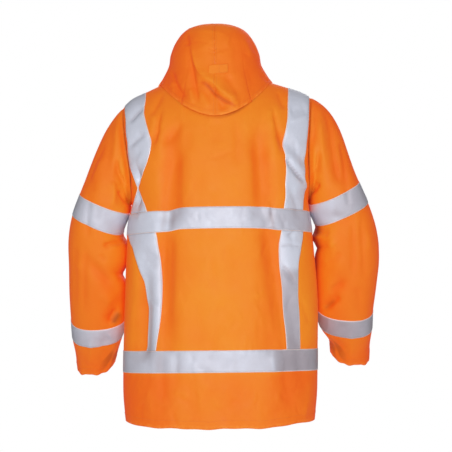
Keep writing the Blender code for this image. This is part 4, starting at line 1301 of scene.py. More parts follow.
def sleeve_grid(side):
    """The sleeve, its relief, its tone, its painted shade and cuff mottle, and the row number of each
    station.
    """
    angle = 360.0 * np.arange(SLEEVE_COLUMNS) / SLEEVE_COLUMNS
    if side == "left":
        angle = angle[::-1]
    half_turn = half_turn_of(angle)
    smooth, number = sleeve_rows(side, angle)
    grid = creased_sleeve(side, smooth)
    relief = relief_of(grid, smooth, ring=True)
    near = distance_from(grid, "foot")
    depth = groove_depth(1.0 - half_turn / 180.0) * np.where(angle <= 180.0, 1.0, -1.0)
    grid[..., 1] += depth * bell(near, GROOVE_SLEEVE_REACH)
    heights, swells = column(SLEEVE_SWELLS, "z"), column(SLEEVE_SWELLS, side)
    swell = MM * np.interp(grid[..., 2] / MM, heights, swells)
    swell = swell * ramp(half_turn, *SLEEVE_INNER_SIDE) * smoothstep(near / SWELL_FADE)
    grid[..., 0] -= SIDE_SIGN[side] * swell
    first = number[CUFF_STATION]
    cuff = np.clip((np.arange(len(grid)) - first) / (len(grid) - first), 0, 1)[:, None]
    grid[..., 2] += CUFF_SWAY * waves(np.radians(angle), CUFF_WAVES) * cuff**2
    # Painted shade over the sleeve, painted light and shade from its relief, a deeper cuff, painted
    # light on the inner side, and painted light on the left sleeve's outer side and painted shade on
    # the right one's
    tone = SLEEVE_PAINTED_SHADE + relief_light_and_shade(relief) + CUFF_TONE * smoothstep(cuff)
    tone = tone + SLEEVE_INNER_PAINTED_LIGHT * ramp(half_turn, *SLEEVE_INNER_TONED)
    tone = tone + SLEEVE_OUTER_PAINTED_LIGHT_AND_SHADE[side] * ramp(half_turn, *SLEEVE_OUTER_TONED)
    return grid, relief, tone, sleeve_shade_and_mottle(side, grid, angle, near, cuff), number


# ---------------------------------------------------------------- hood


def hood_profile(name, reach):
    return MM * along(HOOD, "reach", name, reach)


def hood_oval(reach, side_share, back_share):
    """A point of the hood without its contact with the shoulders, for its right half."""
    ends = ("back_y", "back_z"), ("front_y", "front_z")
    behind, before = ([hood_profile(name, reach) for name in names] for names in ends)
    end_y, end_z = (np.where(back_share > 0, *pair) for pair in zip(behind, before))
    side_z = hood_profile("side_z", reach)
    mid_y = MM * HOOD[0].back_y * (1.0 - reach)
    x = hood_profile("half_width", reach) * side_share
    y = mid_y + (end_y - mid_y) * np.abs(back_share)
    z = side_z + (end_z - side_z) * back_share**2
    return np.stack([x, y, z], axis=-1)


def climb_at(face, x, z):
    """The climb at which the body's upper part has this x and z."""
    _, top = top_edge(face, x)
    rise = np.clip((z - ARMPIT_Z) / (top - ARMPIT_Z), 0.0, 1.0)
    return np.arcsin(rise) * 2 / np.pi


def on_body(face, x, z, lift):
    """The body's surface at x and z, moved out by each point's lift."""
    climb = climb_at(face, x, z)
    nudge = 1e-3
    here = body_point(face, turn_at(x, climb), climb)
    aside = body_point(face, turn_at(x + nudge, climb), climb)
    lower = body_point(face, turn_at(x, climb - nudge), climb - nudge)
    normal = np.cross(aside - here, here - lower) * -face
    normal /= np.linalg.norm(normal, axis=-1, keepdims=True)
    return here + lift[..., None] * normal


def hood_point(sign, disk_x, disk_y):
    """A point of the hood's middle surface.

    The hood is laid out as a disk: its middle is the crown, its rim the lower edge, and its
    middle line, from -1 behind to 1 in front, the centre seam.
    """
    reach = np.hypot(disk_x, disk_y)
    safe = np.maximum(reach, TINY)
    side_share = np.where(reach > TINY, disk_x / safe, 0.0)
    back_share = np.where(reach > TINY, -disk_y / safe, 1.0)
    point = hood_oval(reach, side_share, back_share)
    rim = hood_oval(np.ones_like(reach), side_share, back_share)
    for place in (point, rim):
        place[..., 0] = sign * place[..., 0] + HOOD_CENTRE
    lift = HOOD_LIFT + (HOOD_SIDE_LIFT - HOOD_LIFT) * ramp(side_share, *HOOD_SIDES)
    behind, before = (on_body(face, rim[..., 0], rim[..., 2], lift) for face in (-1, 1))
    contact = np.where(back_share[..., None] > 0, behind, before)
    return point + (contact - rim) * reach[..., None] ** HOOD_LOWER_FOLLOW


def rim_place(degrees):
    radians = np.radians(degrees)
    return np.stack([np.sin(radians), -np.cos(radians)], axis=-1)


def hood_layout(u, v):
    """Disk place from u, seam to outer edge, and v, back to face, blended from the four edges."""
    u, v = u[..., None], v[..., None]
    nape = np.array([0.0, -1.0])
    forehead = np.array([0.0, FOREHEAD_REACH])
    corner = rim_place(HOOD_CORNER)
    chin = rim_place(HOOD_THROAT)
    seam = nape * (1 - v) + forehead * v
    outer = rim_place(HOOD_CORNER + (HOOD_THROAT - HOOD_CORNER) * v[..., 0])
    back = rim_place(HOOD_CORNER * u[..., 0])
    face = (1 - u) ** 3 * forehead + 3 * u * (1 - u) ** 2 * np.array(FACE_HANDLES[0])
    face = face + 3 * u**2 * (1 - u) * np.array(FACE_HANDLES[1]) + u**3 * chin
    corners = (1 - u) * (1 - v) * nape + u * (1 - v) * corner
    corners = corners + (1 - u) * v * forehead + u * v * chin
    return (1 - u) * seam + u * outer + (1 - v) * back + v * face - corners


def hood_grid(side):
    """Half of the hood, its relief, and how much each point lies in the line of painted shade under
    the fold.

    Rows run from the nape over the crown to the face, and columns from left to right.
    """
    share = np.arange(HOOD_CELLS + 1) / HOOD_CELLS
    u, v = np.meshgrid(share, share)
    place = hood_layout(u, v)
    sign = SIDE_SIGN[side]
    smooth = hood_point(sign, place[..., 0], place[..., 1])
    fade = smoothstep(u / HOOD_SEAM_FADE)
    grid = folded(smooth, HOOD_FOLDS, -1, fade, tapered=False, outward=sign)
    grid = folded(grid, HOOD_CREASES, -1, 1.0, outward=sign)
    for face, scatter in HOOD_SCATTERS.items():
        grid = folded(grid, wrinkles(scatter), face, 1.0, outward=sign)
    relief = relief_of(grid, smooth, outward=sign)
    line = fold_push(grid, HOOD_FOLD_LINE) / MM * (grid[..., 1] < 0)
    if side == "right":
        return grid, relief, line
    return grid[:, ::-1], relief[:, ::-1], line[:, ::-1]


def tab_grid():
    """The tab's strip; its left end is loose and droops."""
    x = np.linspace(*TAB_X, TAB_CELLS[0] + 1)[None, :]
    loose = ramp(x, TAB_X[0] + TAB_LOOSE, -TAB_LOOSE)
    z = np.linspace(*TAB_Z, TAB_CELLS[1] + 1)[:, None] - TAB_DROOP * loose
    order = np.argsort(column(HOOD, "back_z"))
    reach = np.interp(z / MM, column(HOOD, "back_z")[order], column(HOOD, "reach")[order])
    side_share = (x - HOOD_CENTRE) / hood_profile("half_width", reach)
    place_x = reach * np.abs(side_share)
    place_y = -reach * np.sqrt(1.0 - side_share**2)
    grid = hood_point(np.sign(side_share + TINY), place_x, place_y)
    return grid + surface_normals(grid) * (TAB_LIFT + TAB_LOOSE_LIFT * loose)[..., None]


# ---------------------------------------------------------------- materials

# ORANGE_LIT and ORANGE_DEEP are a lit and a shaded copy of the cloth's orange: the tone blends between
# them as painted light and shade, and random patches also blend towards the deep one.
ORANGE_LIT = (0.320, 0.266, 0.0140)
ORANGE_DEEP = (0.320, 0.146, 0.0080)
ORANGE_WORN = (0.400, 0.300, 0.0400)
# The dark colour of painted shade, which also darkens the mottles low on the cuffs
ORANGE_SHADE_AND_MOTTLE = (0.130, 0.030, 0.0050)
# A painted glow: a constant red emission over all the orange cloth, which keeps its red bright in
# shade. It is dimmer where painted shade lies and on the cloth's inner faces.
ORANGE_PAINTED_GLOW = (1.0, 0.0, 0.0)
# The dimmer painted glow where painted shade lies and on the cuffs' mottles
SHADE_AND_MOTTLE_GLOW = (0.22, 0.0, 0.0)
INSIDE_PAINTED_GLOW = (0.58, 0.045, 0.0)
ORANGE_FINISH = {
    "Specular IOR Level": 0.22,
    "Sheen Weight": 0.04,
    "Sheen Roughness": 0.45,
    "Sheen Tint": (1.0, 0.62, 0.40, 1.0),
    # The strength of the painted red glow
    "Emission Strength": 0.52,
}

# TAPE_LIGHT and TAPE_DARK are a lit and a shaded copy of the tape: its tone blends between them as
# painted light and shade, and random patches and beads blend towards the dark one.
TAPE_LIGHT = (0.650, 0.680, 0.785)
TAPE_DARK = (0.370, 0.330, 0.370)
TAPE_EDGE = (0.800, 0.690, 0.680)
TAPE_FINISH = {"Specular IOR Level": 0.4, "Metallic": 0.08}
# The tape's edge strip and its groove of stitching: places across it, from its middle at 0
TAPE_EDGE_FROM = (0.462, 0.482)
TAPE_GROOVE_AT = 0.448
TAPE_GROOVE_HALF = 0.02

GREY_THREAD = (0.66, 0.65, 0.68)
ORANGE_THREAD = (0.78, 0.17, 0.018)
THREAD_ROUGHNESS = 0.6
THREAD_DARKER = 0.7

# Unevenness: a noise's scale and detail, the values it is read between, and what they become
Patch = namedtuple("Patch", "scale detail low high least most", defaults=(0.0, 1.0))
ORANGE_BROAD = Patch(7.0, 2.0, 0.35, 0.65, 0.0, 0.22)
ORANGE_FINE = Patch(240.0, 4.0, 0.3, 0.7, 0.0, 0.10)
ORANGE_RUBBED = Patch(90.0, 3.0, 0.35, 0.75)
ORANGE_ROUGHNESS = Patch(30.0, 3.0, 0.3, 0.7, 0.58, 0.70)
TAPE_PATCHES = Patch(22.0, 3.0, 0.3, 0.7, 0.0, 0.2)
TAPE_BEADS = Patch(1800.0, 1.0, 0.35, 0.65, 0.0, 0.22)
TAPE_ROUGHNESS = Patch(60.0, 3.0, 0.3, 0.7, 0.48, 0.58)
THREAD_SHADE = Patch(500.0, 3.0, 0.3, 0.7, 0.0, 0.35)

# Fine relief: its height and its strength. Its noise has a scale, a detail and a roughness.
Bump = namedtuple("Bump", "distance strength")
ORANGE_CRUMPLE = Bump(2.2 * MM, 0.32)
ORANGE_CRUMPLE_NOISE = (34.0, 3.0, 0.5)
ORANGE_CRUMPLE_STRETCH = (1.0, 1.0, 0.45)
ORANGE_WEAVE = Bump(0.12 * MM, 0.5)
TAPE_CRUMPLE = Bump(1.6 * MM, 0.3)
TAPE_CRUMPLE_NOISE = (46.0, 3.0, 0.5)
TAPE_GRAIN = Bump(0.05 * MM, 0.4)
TAPE_GRAIN_NOISE = (2200.0, 1.0)
TAPE_GROOVE = Bump(0.4 * MM, 0.8)
NOISE_ROUGHNESS = 0.55
WEAVE_PITCH = 0.8 * MM
WEAVE_DISTORTION = 0.4
WAVE_PERIOD = 0.314  # a Wave texture's period at scale 1

# A Mix node's sockets when it mixes colours
MIX_SHARE, MIX_FIRST, MIX_SECOND = 0, 6, 7
MIX_RESULT = 2


def new_material(name):
    material = bpy.data.materials.new(name)
    material.use_nodes = True
    tree = material.node_tree
    return material, tree, tree.nodes["Principled BSDF"]


def connect(tree, node, inputs):
    """Each input is linked to a socket, or filled in with a value."""
    for name, value in inputs.items():
        if isinstance(value, bpy.types.NodeSocket):
            tree.links.new(value, node.inputs[name])
        else:
            node.inputs[name].default_value = value


def add(tree, kind, inputs, **settings):
    node = tree.nodes.new(kind)
    for name, value in settings.items():
        setattr(node, name, value)
    connect(tree, node, inputs)
    return node


def attribute(tree, name):
    """What each point's finish holds under this name."""
    return add(tree, "ShaderNodeAttribute", {}, attribute_name=name).outputs["Fac"]


def noise(tree, vector, scale, detail, roughness=NOISE_ROUGHNESS):
    inputs = {"Vector": vector, "Scale": scale, "Detail": detail, "Roughness": roughness}
    return add(tree, "ShaderNodeTexNoise", inputs).outputs["Fac"]


def blend_colours(tree, share, first, second):
    made = add(tree, "ShaderNodeMix", {MIX_SHARE: share}, data_type="RGBA")
    sides = [(*side, 1.0) if isinstance(side, tuple) else side for side in (first, second)]
    connect(tree, made, {MIX_FIRST: sides[0], MIX_SECOND: sides[1]})
    return made.outputs[MIX_RESULT]


def ranged(tree, value, low, high, least=0.0, most=1.0):
    inputs = {"Value": value, "From Min": low, "From Max": high, "To Min": least, "To Max": most}
    return add(tree, "ShaderNodeMapRange", inputs).outputs[0]


def uneven(tree, place, patch):
    return ranged(tree, noise(tree, place, patch.scale, patch.detail), *patch[2:])


def joined(tree, operation, first, second=0.0):
    return add(tree, "ShaderNodeMath", {0: first, 1: second}, operation=operation).outputs[0]


def away_from(tree, value, middle):
    """How far a value is from a middle one, whichever way."""
    return joined(tree, "ABSOLUTE", joined(tree, "SUBTRACT", value, middle))


def weave(tree, uv):
    """The height of a plain weave."""
    scale = WAVE_PERIOD / WEAVE_PITCH
    inputs = {"Vector": uv, "Scale": scale, "Distortion": WEAVE_DISTORTION}
    bands = [
        add(tree, "ShaderNodeTexWave", inputs, bands_direction=way).outputs["Fac"]
        for way in ("X", "Y")
    ]
    return joined(tree, "MULTIPLY", *bands)


def bumped(tree, height, bump, before=None):
    inputs = {"Height": height, "Distance": bump.distance, "Strength": bump.strength}
    if before is not None:
        inputs["Normal"] = before
    return add(tree, "ShaderNodeBump", inputs).outputs[0]


def orange_cloth():
    material, tree, shader = new_material("orange_cloth")
    coordinates = add(tree, "ShaderNodeTexCoord", {})
    place = coordinates.outputs["Object"]
    tone = joined(tree, "ADD", uneven(tree, place, ORANGE_BROAD), attribute(tree, "tone"))
    colour = blend_colours(tree, tone, ORANGE_LIT, ORANGE_DEEP)
    colour = blend_colours(tree, uneven(tree, place, ORANGE_FINE), colour, ORANGE_DEEP)
    rubbed = joined(
        tree, "MULTIPLY", attribute(tree, "wear"), uneven(tree, place, ORANGE_RUBBED)
    )
    colour = blend_colours(tree, rubbed, colour, ORANGE_WORN)
    # Painted shade, and darker mottles on the cuffs, darken the colour and dim the painted glow. The
    # inner faces take a dimmer painted glow.
    shade_and_mottle = attribute(tree, "shade_and_mottle")
    glow = blend_colours(tree, shade_and_mottle, ORANGE_PAINTED_GLOW, SHADE_AND_MOTTLE_GLOW)
    stretched = {"Vector": place, "Scale": ORANGE_CRUMPLE_STRETCH}
    stretched = add(tree, "ShaderNodeMapping", stretched).outputs[0]
    normal = bumped(tree, noise(tree, stretched, *ORANGE_CRUMPLE_NOISE), ORANGE_CRUMPLE)
    finish = {
        "Base Color": blend_colours(tree, shade_and_mottle, colour, ORANGE_SHADE_AND_MOTTLE),
        "Roughness": uneven(tree, place, ORANGE_ROUGHNESS),
        "Emission Color": blend_colours(tree, attribute(tree, "inside"), glow, INSIDE_PAINTED_GLOW),
        "Normal": bumped(tree, weave(tree, coordinates.outputs["UV"]), ORANGE_WEAVE, normal),
    }
    connect(tree, shader, finish | ORANGE_FINISH)
    return material


def reflective_tape():
    material, tree, shader = new_material("reflective_tape")
    coordinates = add(tree, "ShaderNodeTexCoord", {})
    place = coordinates.outputs["Object"]
    tone = joined(tree, "ADD", uneven(tree, place, TAPE_PATCHES), attribute(tree, "tone"))
    colour = blend_colours(tree, tone, TAPE_LIGHT, TAPE_DARK)
    colour = blend_colours(tree, uneven(tree, place, TAPE_BEADS), colour, TAPE_DARK)
    across = add(tree, "ShaderNodeSeparateXYZ", {"Vector": coordinates.outputs["UV"]}).outputs["Y"]
    from_middle = away_from(tree, across, 0.5)
    edge = ranged(tree, from_middle, *TAPE_EDGE_FROM)
    groove = ranged(tree, away_from(tree, from_middle, TAPE_GROOVE_AT), 0.0, TAPE_GROOVE_HALF)
    normal = bumped(tree, noise(tree, place, *TAPE_CRUMPLE_NOISE), TAPE_CRUMPLE)
    normal = bumped(tree, noise(tree, place, *TAPE_GRAIN_NOISE), TAPE_GRAIN, normal)
    finish = {
        "Base Color": blend_colours(tree, edge, colour, TAPE_EDGE),
        "Roughness": uneven(tree, place, TAPE_ROUGHNESS),
        "Normal": bumped(tree, groove, TAPE_GROOVE, normal),
    }
    connect(tree, shader, finish | TAPE_FINISH)
    return material


def thread_material(name, colour):
    material, tree, shader = new_material(name)
    place = add(tree, "ShaderNodeTexCoord", {}).outputs["Object"]
    darker = tuple(THREAD_DARKER * part for part in colour)
    shaded = blend_colours(tree, uneven(tree, place, THREAD_SHADE), colour, darker)
    connect(tree, shader, {"Base Color": shaded, "Roughness": THREAD_ROUGHNESS})
    return material


# ---------------------------------------------------------------- painted light and shade, and wear


def body_tone(grid, relief):
    """The body's tone: painted shade below the hem band, most at the sides, painted light on the side
    panels, and painted light and shade from its relief.
    """
    x, z = np.abs(grid[..., 0]) / MM, grid[..., 2] / MM
    panel = ramp(x, *SIDE_PANELS_TONED) * band_between(z, *SIDE_PANELS_HEIGHTS)
    hem_painted_shade = HEM_PAINTED_SHADE + HEM_SIDE_PAINTED_SHADE * ramp(x, *HEM_SIDES_TONED)
    tone = BODY_TONE + relief_light_and_shade(relief) + ramp(z, *HEM_TONED) * hem_painted_shade
    return tone + SIDE_PANEL_PAINTED_LIGHT * panel


def hood_tone(grid, relief):
    """The hood's tone: painted shade, more towards its sides, painted light on its crown, and painted
    light and shade from its relief.
    """
    x, z = grid[..., 0] / MM, grid[..., 2] / MM
    side = ramp(np.abs(x - HOOD_MIDDLE), *HOOD_SIDES_TONED)
    crown = ramp(z, *HOOD_CROWN_TONED) * (1.0 - side)
    return HOOD_PAINTED_SHADE + HOOD_SIDE_PAINTED_SHADE * side + HOOD_CROWN_PAINTED_LIGHT * crown + relief_light_and_shade(relief)


def tape_tone(grid, relief):
    """The tape's tone: painted light on the braces, and painted shade in the troughs, low on the
    right, on the chest band's right part, at a sleeve band's inner end, on an arm band's outer part
    and along creases.
    """
    x, z = grid[..., 0] / MM, grid[..., 2] / MM
    side = ramp(x, *TAPE_SIDE_TONED)
    low = ramp(z, *TAPE_LOW_TONED)
    brace = band_between(np.abs(x), *BRACES_TONED) * ramp(z, *BRACES_FOOT)
    brace = brace * (1.0 - BRACE_LOW_LOSS * low * side)
    chest = band_between(z, *CHEST_TONED) * ramp(x, *CHEST_TONED_END)
    cuff_band_shade = band_between(x, *CUFF_BAND_SHADED_PLACE[0]) * band_between(z, *CUFF_BAND_SHADED_PLACE[1])
    outer = ramp(x, *ARM_BAND_TONED[0]) * ramp(z, *ARM_BAND_TONED[1])
    # Painted light on the braces, and painted shade on the right, at the sleeve band's end, on the arm
    # band's outer part, along the creases and with the relief
    tone = TAPE_TONE + BRACE_PAINTED_LIGHT * brace + side * (TAPE_SIDE_PAINTED_SHADE * chest + TAPE_LOW_PAINTED_SHADE * low)
    tone = tone + CUFF_BAND_PAINTED_SHADE * cuff_band_shade + ARM_BAND_PAINTED_SHADE * outer
    lines = sum(fold_push(grid, line) for line in TAPE_SHADE_LINES) / MM
    tone = tone + lines * (grid[..., 1] < 0) * (np.abs(x) < TAPE_SHADE_LINES_END)
    return tone - TAPE_RELIEF_LIGHT_AND_SHADE * relief


def armhole_painted_shade(grid, climbs):
    """Painted shade along the body's armhole seams, deepest where they sink in most."""
    near = nearest_edge(grid, ("left", "right"))
    depth = groove_depth(np.clip(climbs, 0.0, 1.0)) / DEEPEST_GROOVE
    depth = depth * smoothstep(climbs / ARMHOLE_PAINTED_SHADE_START)
    return ARMHOLE_PAINTED_SHADE * depth[:, None] * bell(near, ARMHOLE_PAINTED_SHADE_REACH["body"])


def hood_shadow(grid, face):
    """Painted shadow on the body's cloth just below the hood's lower edge, and painted shade where the
    hood covers it.
    """
    rim = HOOD[-1]
    x, z = grid[..., 0] / MM, grid[..., 2] / MM
    across = np.clip((x - HOOD_CENTRE / MM) / rim.half_width, -1.0, 1.0)
    low = rim.back_z if face < 0 else rim.front_z
    edge = rim.side_z + (low - rim.side_z) * (1.0 - across**2)
    deepest, width = HOOD_SHADOW_DEEPEST
    strength = HOOD_SHADOW + HOOD_SHADOW_DEEPER * bell(x - deepest, width)
    beside = strength * bell(np.maximum(edge - z, 0.0), HOOD_SHADOW_REACH) * (face < 0)
    covered = HOOD_COVERED_SHADE * ramp(z - edge, *HOOD_COVERED)
    return np.maximum(beside, covered) * (np.abs(x) < rim.half_width)


def edge_wear(grid, edges):
    """Rubbed cloth beside these edges."""
    return bell(nearest_edge(grid, edges), EDGE_WEAR_REACH)


# ---------------------------------------------------------------- pieces

# The two materials, and every row of stitching that is still to be sewn in each thread
Kit = namedtuple("Kit", "orange tape tape_rows cloth_rows")


def new_mesh(name, points, faces):
    """A mesh of an array of points and one of faces, which all have as many corners."""
    faces = faces.reshape(-1, faces.shape[-1])
    mesh = bpy.data.meshes.new(name)
    mesh.from_pydata(points.reshape(-1, 3).tolist(), [], faces.tolist())
    return mesh


def placed(name, data):
    """A new object in the scene."""
    made = bpy.data.objects.new(name, data)
    bpy.context.scene.collection.objects.link(made)
    return made


def mesh_of(name, grid, ring, uv, values):
    """A mesh of a grid of points; values holds what each point's finish needs, by name."""
    rows, columns = grid.shape[:2]
    count = columns if ring else columns - 1
    row, place = np.meshgrid(np.arange(rows - 1), np.arange(count), indexing="ij")
    here, after = row * columns + place, row * columns + (place + 1) % columns
    corners = np.stack([here, after, after + columns, here + columns], axis=-1)
    mesh = new_mesh(name, grid, corners)
    layer = mesh.uv_layers.new(name="cloth")
    picks = [(row, place), (row, place + 1), (row + 1, place + 1), (row + 1, place)]
    loops = np.stack([uv[pick] for pick in picks], axis=2)
    layer.data.foreach_set("uv", loops.reshape(-1).astype(np.float32))
    for kind, value in values.items():
        made = mesh.attributes.new(kind, "FLOAT", "POINT")
        of_points = np.broadcast_to(value, grid.shape[:-1])
        made.data.foreach_set("value", of_points.reshape(-1).astype(np.float32))
    mesh.shade_smooth()
    return mesh


def cloth_uv(grid, ring):
    """Places on the flat cloth, in metres. A ring has one more column than its grid."""
    wide = np.concatenate([grid, grid[:, :1]], axis=1) if ring else grid
    u = run_along(wide, axis=1).mean(axis=0)
    v = run_along(grid, axis=0).mean(axis=1)
    return np.stack(np.meshgrid(u, v), axis=-1)


def tape_uv(grid, ring, runs_across):
    """Places on the tape: metres along it, and from 0 to 1 across it."""
    flat = cloth_uv(grid, ring)
    if not runs_across:
        flat = flat[..., ::-1]
    return np.stack([flat[..., 0], flat[..., 1] / flat[-1, -1, 1]], axis=-1)


def add_piece(name, mesh, material, thickness=0.0, offset=0.0):
    mesh.materials.append(material)
    piece = placed(name, mesh)
    if thickness:
        solidify = piece.modifiers.new("wall", "SOLIDIFY")
        solidify.thickness = thickness
        solidify.offset = offset
        # The inner faces are marked so that they take a dimmer painted glow
        solidify.shell_vertex_group = piece.vertex_groups.new(name="inside").name
    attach(piece, "root")
    return piece


def add_cloth(
    kit, node, grid, wear, tone, shade_and_mottle=0.0, thickness=CLOTH, ring=False, held="hung", rests_on=()
):
    # The cloth's painted shade, with darker mottles on the cuffs, goes to its finish with its wear and
    # tone
    values = {"wear": wear, "tone": tone, "shade_and_mottle": shade_and_mottle}
    mesh = mesh_of(node + "_cloth", grid, ring, cloth_uv(grid, ring), values)
    piece = add_piece(node + "_cloth", mesh, kit.orange, thickness)
    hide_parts(node)


def add_tape(kit, node, grid, relief, ring=False, runs_across=True):
    """A strip of tape. runs_across says that it runs along the grid's rows and not its columns."""
    ends, sides = UPRIGHT_EDGES, ("foot", "top")
    if not runs_across:
        ends, sides = sides, ends
    normals = surface_normals(grid, ring)
    if not ring:
        grid = pulled_in(grid, ends, TAPE_END_GAP)
    drop = TAPE_EDGE_DROP * bell(nearest_edge(grid, sides), TAPE_EDGE_REACH)
    grid = grid - normals * drop[..., None]
    uv = tape_uv(grid, ring, runs_across)
    mesh = mesh_of(node + "_strip", grid, ring, uv, {"tone": tape_tone(grid, relief)})
    piece = add_piece(node + "_strip", mesh, kit.tape, TAPE, offset=1.0)
    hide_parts(node)
    for side in sides:
        kit.tape_rows.append(stitch_row(grid + normals * TAPE, side, TAPE_STITCH_INSET, ring))


def sew(kit, cloth, insets, ring=False, thickness=CLOTH, first_column=0):
    """Rows of stitching on a cloth's outer face, each beside an edge at an inset."""
    outer = cloth + surface_normals(cloth, ring) * thickness / 2
    for edge, inset in insets:
        kit.cloth_rows.append(stitch_row(outer[:, first_column:], edge, inset, ring))


def stitch_corners(points, normals, thread):
    """The corners of every stitch on a row, one cross-section after the other."""
    run = run_along(points)
    at = np.arange(thread.pitch, run[-1] - thread.pitch, thread.pitch)
    middle, up = points_at(at, run, points), points_at(at, run, normals)
    half = thread.pitch / 2
    before, after = (points_at(place, run, points) for place in (at - half, at + half))
    way = after - before
    way /= np.linalg.norm(way, axis=-1, keepdims=True)
    up = up - (up * way).sum(axis=-1, keepdims=True) * way
    up /= np.linalg.norm(up, axis=-1, keepdims=True)
    aside = np.cross(way, up)
    corners = []
    for shift, size in STITCH_SECTIONS:
        sunk = up * (size - STITCH_SINK) * thread.width / 2
        centre = middle + way * shift * thread.length + sunk
        for side, rise in STITCH_SIDES:
            corners.append(centre + (aside * side + up * rise) * size * thread.width / 2)
    return np.stack(corners, axis=1)


def stitch_faces():
    """The faces of one stitch: four between each two cross-sections, and its two ends."""
    around = len(STITCH_SIDES)
    last = (len(STITCH_SECTIONS) - 1) * around
    faces = []
    for section in range(0, last, around):
        for side in range(around):
            here, there = section + side, section + (side + 1) % around
            faces.append((here, there, there + around, here + around))
    first_end = list(range(around))[::-1]
    return np.array(faces + [first_end, list(range(last, last + around))])


def add_stitches(name, rows, thread, material):
    """One joined mesh of short raised stitches along every row."""
    points = np.concatenate([stitch_corners(*row, thread) for row in rows], axis=0)
    base = np.arange(len(points))[:, None, None] * points.shape[1]
    mesh = new_mesh(name, points, stitch_faces() + base)
    mesh.shade_smooth()
    add_piece(name, mesh, material)


# ---------------------------------------------------------------- the jacket


def part_of(values, rows, columns):
    """The part of a grid between two rows and two columns, or between two rows of a ring."""
    values = values[rows[0] : rows[1] + 1]
    return values[:, columns[0] : columns[1] + 1] if columns else values


def tape_surface(grid, rows, columns, ring=False, lift=TAPE_LIFT):
    """A part of the grid, lifted onto the cloth as tape."""
    return part_of(grid + surface_normals(grid, ring) * lift, rows, columns)


def line_columns(cells, lines):
    """The column numbers of these lines, which the cells lie between."""
    return tuple(sum(cells[:line]) for line in lines)


def build_panels(kit, back, front):
    """The back and the two fronts. back and front hold grid, tone and painted shade."""
    middle = sum(HALF_FRONT_CELLS)
    right = [value[:, : middle + 1] for value in front]
    left = [value[:, middle:] for value in front]
    panels = {
        "back": (back, UPRIGHT_EDGES, ()),
        "front_right": (right, ("left",), ("right",)),
        "front_left": (left, ("right",), ("left",)),
    }
    for node, ((grid, tone, shade_and_mottle), sides, closure) in panels.items():
        seams = sides + ("top",)
        cloth = seamed(hemmed(grid, "foot", HEM_TURN_UP), seams)
        cloth = pulled_in(cloth, seams, SEAM_GAP)
        cloth = pulled_in(cloth, closure, CLOSURE_GAP)
        add_cloth(kit, node, cloth, edge_wear(cloth, seams + ("foot",)), tone, shade_and_mottle)
        rows = [("foot", HEM_STITCH_INSET)] + [(side, TOPSTITCH_INSET) for side in sides]
        sew(kit, cloth, rows)


def build_flap(kit, front, rows, columns):
    flap = tape_surface(front, rows, columns, lift=FLAP_LIFT)
    flap = seamed(flap, UPRIGHT_EDGES, **FLAP_SIDE_SEAM)
    flap = seamed(flap, ("top", "foot"), **FLAP_END_SEAM)
    unders = ["front_left_cloth", "front_right_cloth"]
    wear = edge_wear(flap, UPRIGHT_EDGES + ("foot",))
    add_cloth(kit, "storm_flap", flap, wear, BODY_TONE, held="laid", rests_on=unders)
    sew(kit, flap, [(edge, TOPSTITCH_INSET) for edge in UPRIGHT_EDGES])


def build_bands(kit, back, front, number, flap_lines):
    """The chest band and the hem band. back and front hold grid and relief."""
    first, end = flap_lines
    last_behind = back[0].shape[1] - 1
    last_before = front[0].shape[1] - 1
    strips = {
        "back": (back, (0, last_behind), TAPE_LIFT, "back_cloth"),
        "front_right": (front, (0, first), TAPE_LIFT, "front_right_cloth"),
        "front_left": (front, (end, last_before), TAPE_LIFT, "front_left_cloth"),
        "flap": (front, (first, end), FLAP_LIFT + TAPE_LIFT, "storm_flap_cloth"),
    }
    for band in ("chest", "hem"):
        rows = (number[band + "_band_foot"], number[band + "_band_top"])
        for place, ((grid, relief), columns, lift, under) in strips.items():
            strip = tape_surface(grid, rows, columns, lift=lift)
            add_tape(kit, f"tape_{band}_{place}", strip, part_of(relief, rows, columns))


def build_braces(kit, back, front, number):
    """The braces, up to the chest band and over the shoulders. back and front hold grid and relief."""
    below = (number["hem_band_top"], number["chest_band_foot"])
    above = (number["chest_band_top"], number["shoulder"])
    for side in SIDE_SIGN:
        unders = ["back_cloth", f"front_{side}_cloth"]
        behind = line_columns(BACK_CELLS, BACK_BRACE_LINES[side])
        before = line_columns(FRONT_CELLS, FRONT_BRACE_LINES[side])
        sheets = [(*back, behind), (*front, before)]
        for face, (grid, relief, lines), under in zip(("back", "front"), sheets, unders):
            strip, relief = tape_surface(grid, below, lines), part_of(relief, below, lines)
            node = f"tape_brace_{face}_{side}"
            add_tape(kit, node, strip, relief, runs_across=False)
        rising, falling = (tape_surface(grid, above, lines) for grid, _, lines in sheets)
        relief_up, relief_down = (part_of(relief, above, lines) for _, relief, lines in sheets)
        falling, relief_down = falling[::-1, ::-1], relief_down[::-1, ::-1]
        crest = (rising[-1:] + falling[:1]) / 2
        over = np.concatenate([rising[:-1], crest, falling[1:]])
        relief = np.concatenate([relief_up, relief_down[1:]])
        add_tape(kit, f"tape_brace_over_{side}", over, relief, runs_across=False)


def build_body(kit):
    climbs, _ = band_rows()
    back, back_relief, number = back_grid()
    front, front_relief = front_grid()
    # Painted shade along the armhole seams, and painted shadow and shade from the hood
    back_painted_shade, front_painted_shade = (
        np.maximum(armhole_painted_shade(grid, climbs), hood_shadow(grid, face))
        for grid, face in ((back, -1), (front, 1))
    )
    build_panels(
        kit,
        (back, body_tone(back, back_relief), back_painted_shade),
        (front, body_tone(front, front_relief), front_painted_shade),
    )
    flap_lines = line_columns(FRONT_CELLS, FLAP_LINES)
    build_flap(kit, front, (1, number["shoulder"] - 1), flap_lines)
    back, front = (back, back_relief), (front, front_relief)
    build_bands(kit, back, front, number, flap_lines)
    build_braces(kit, back, front, number)


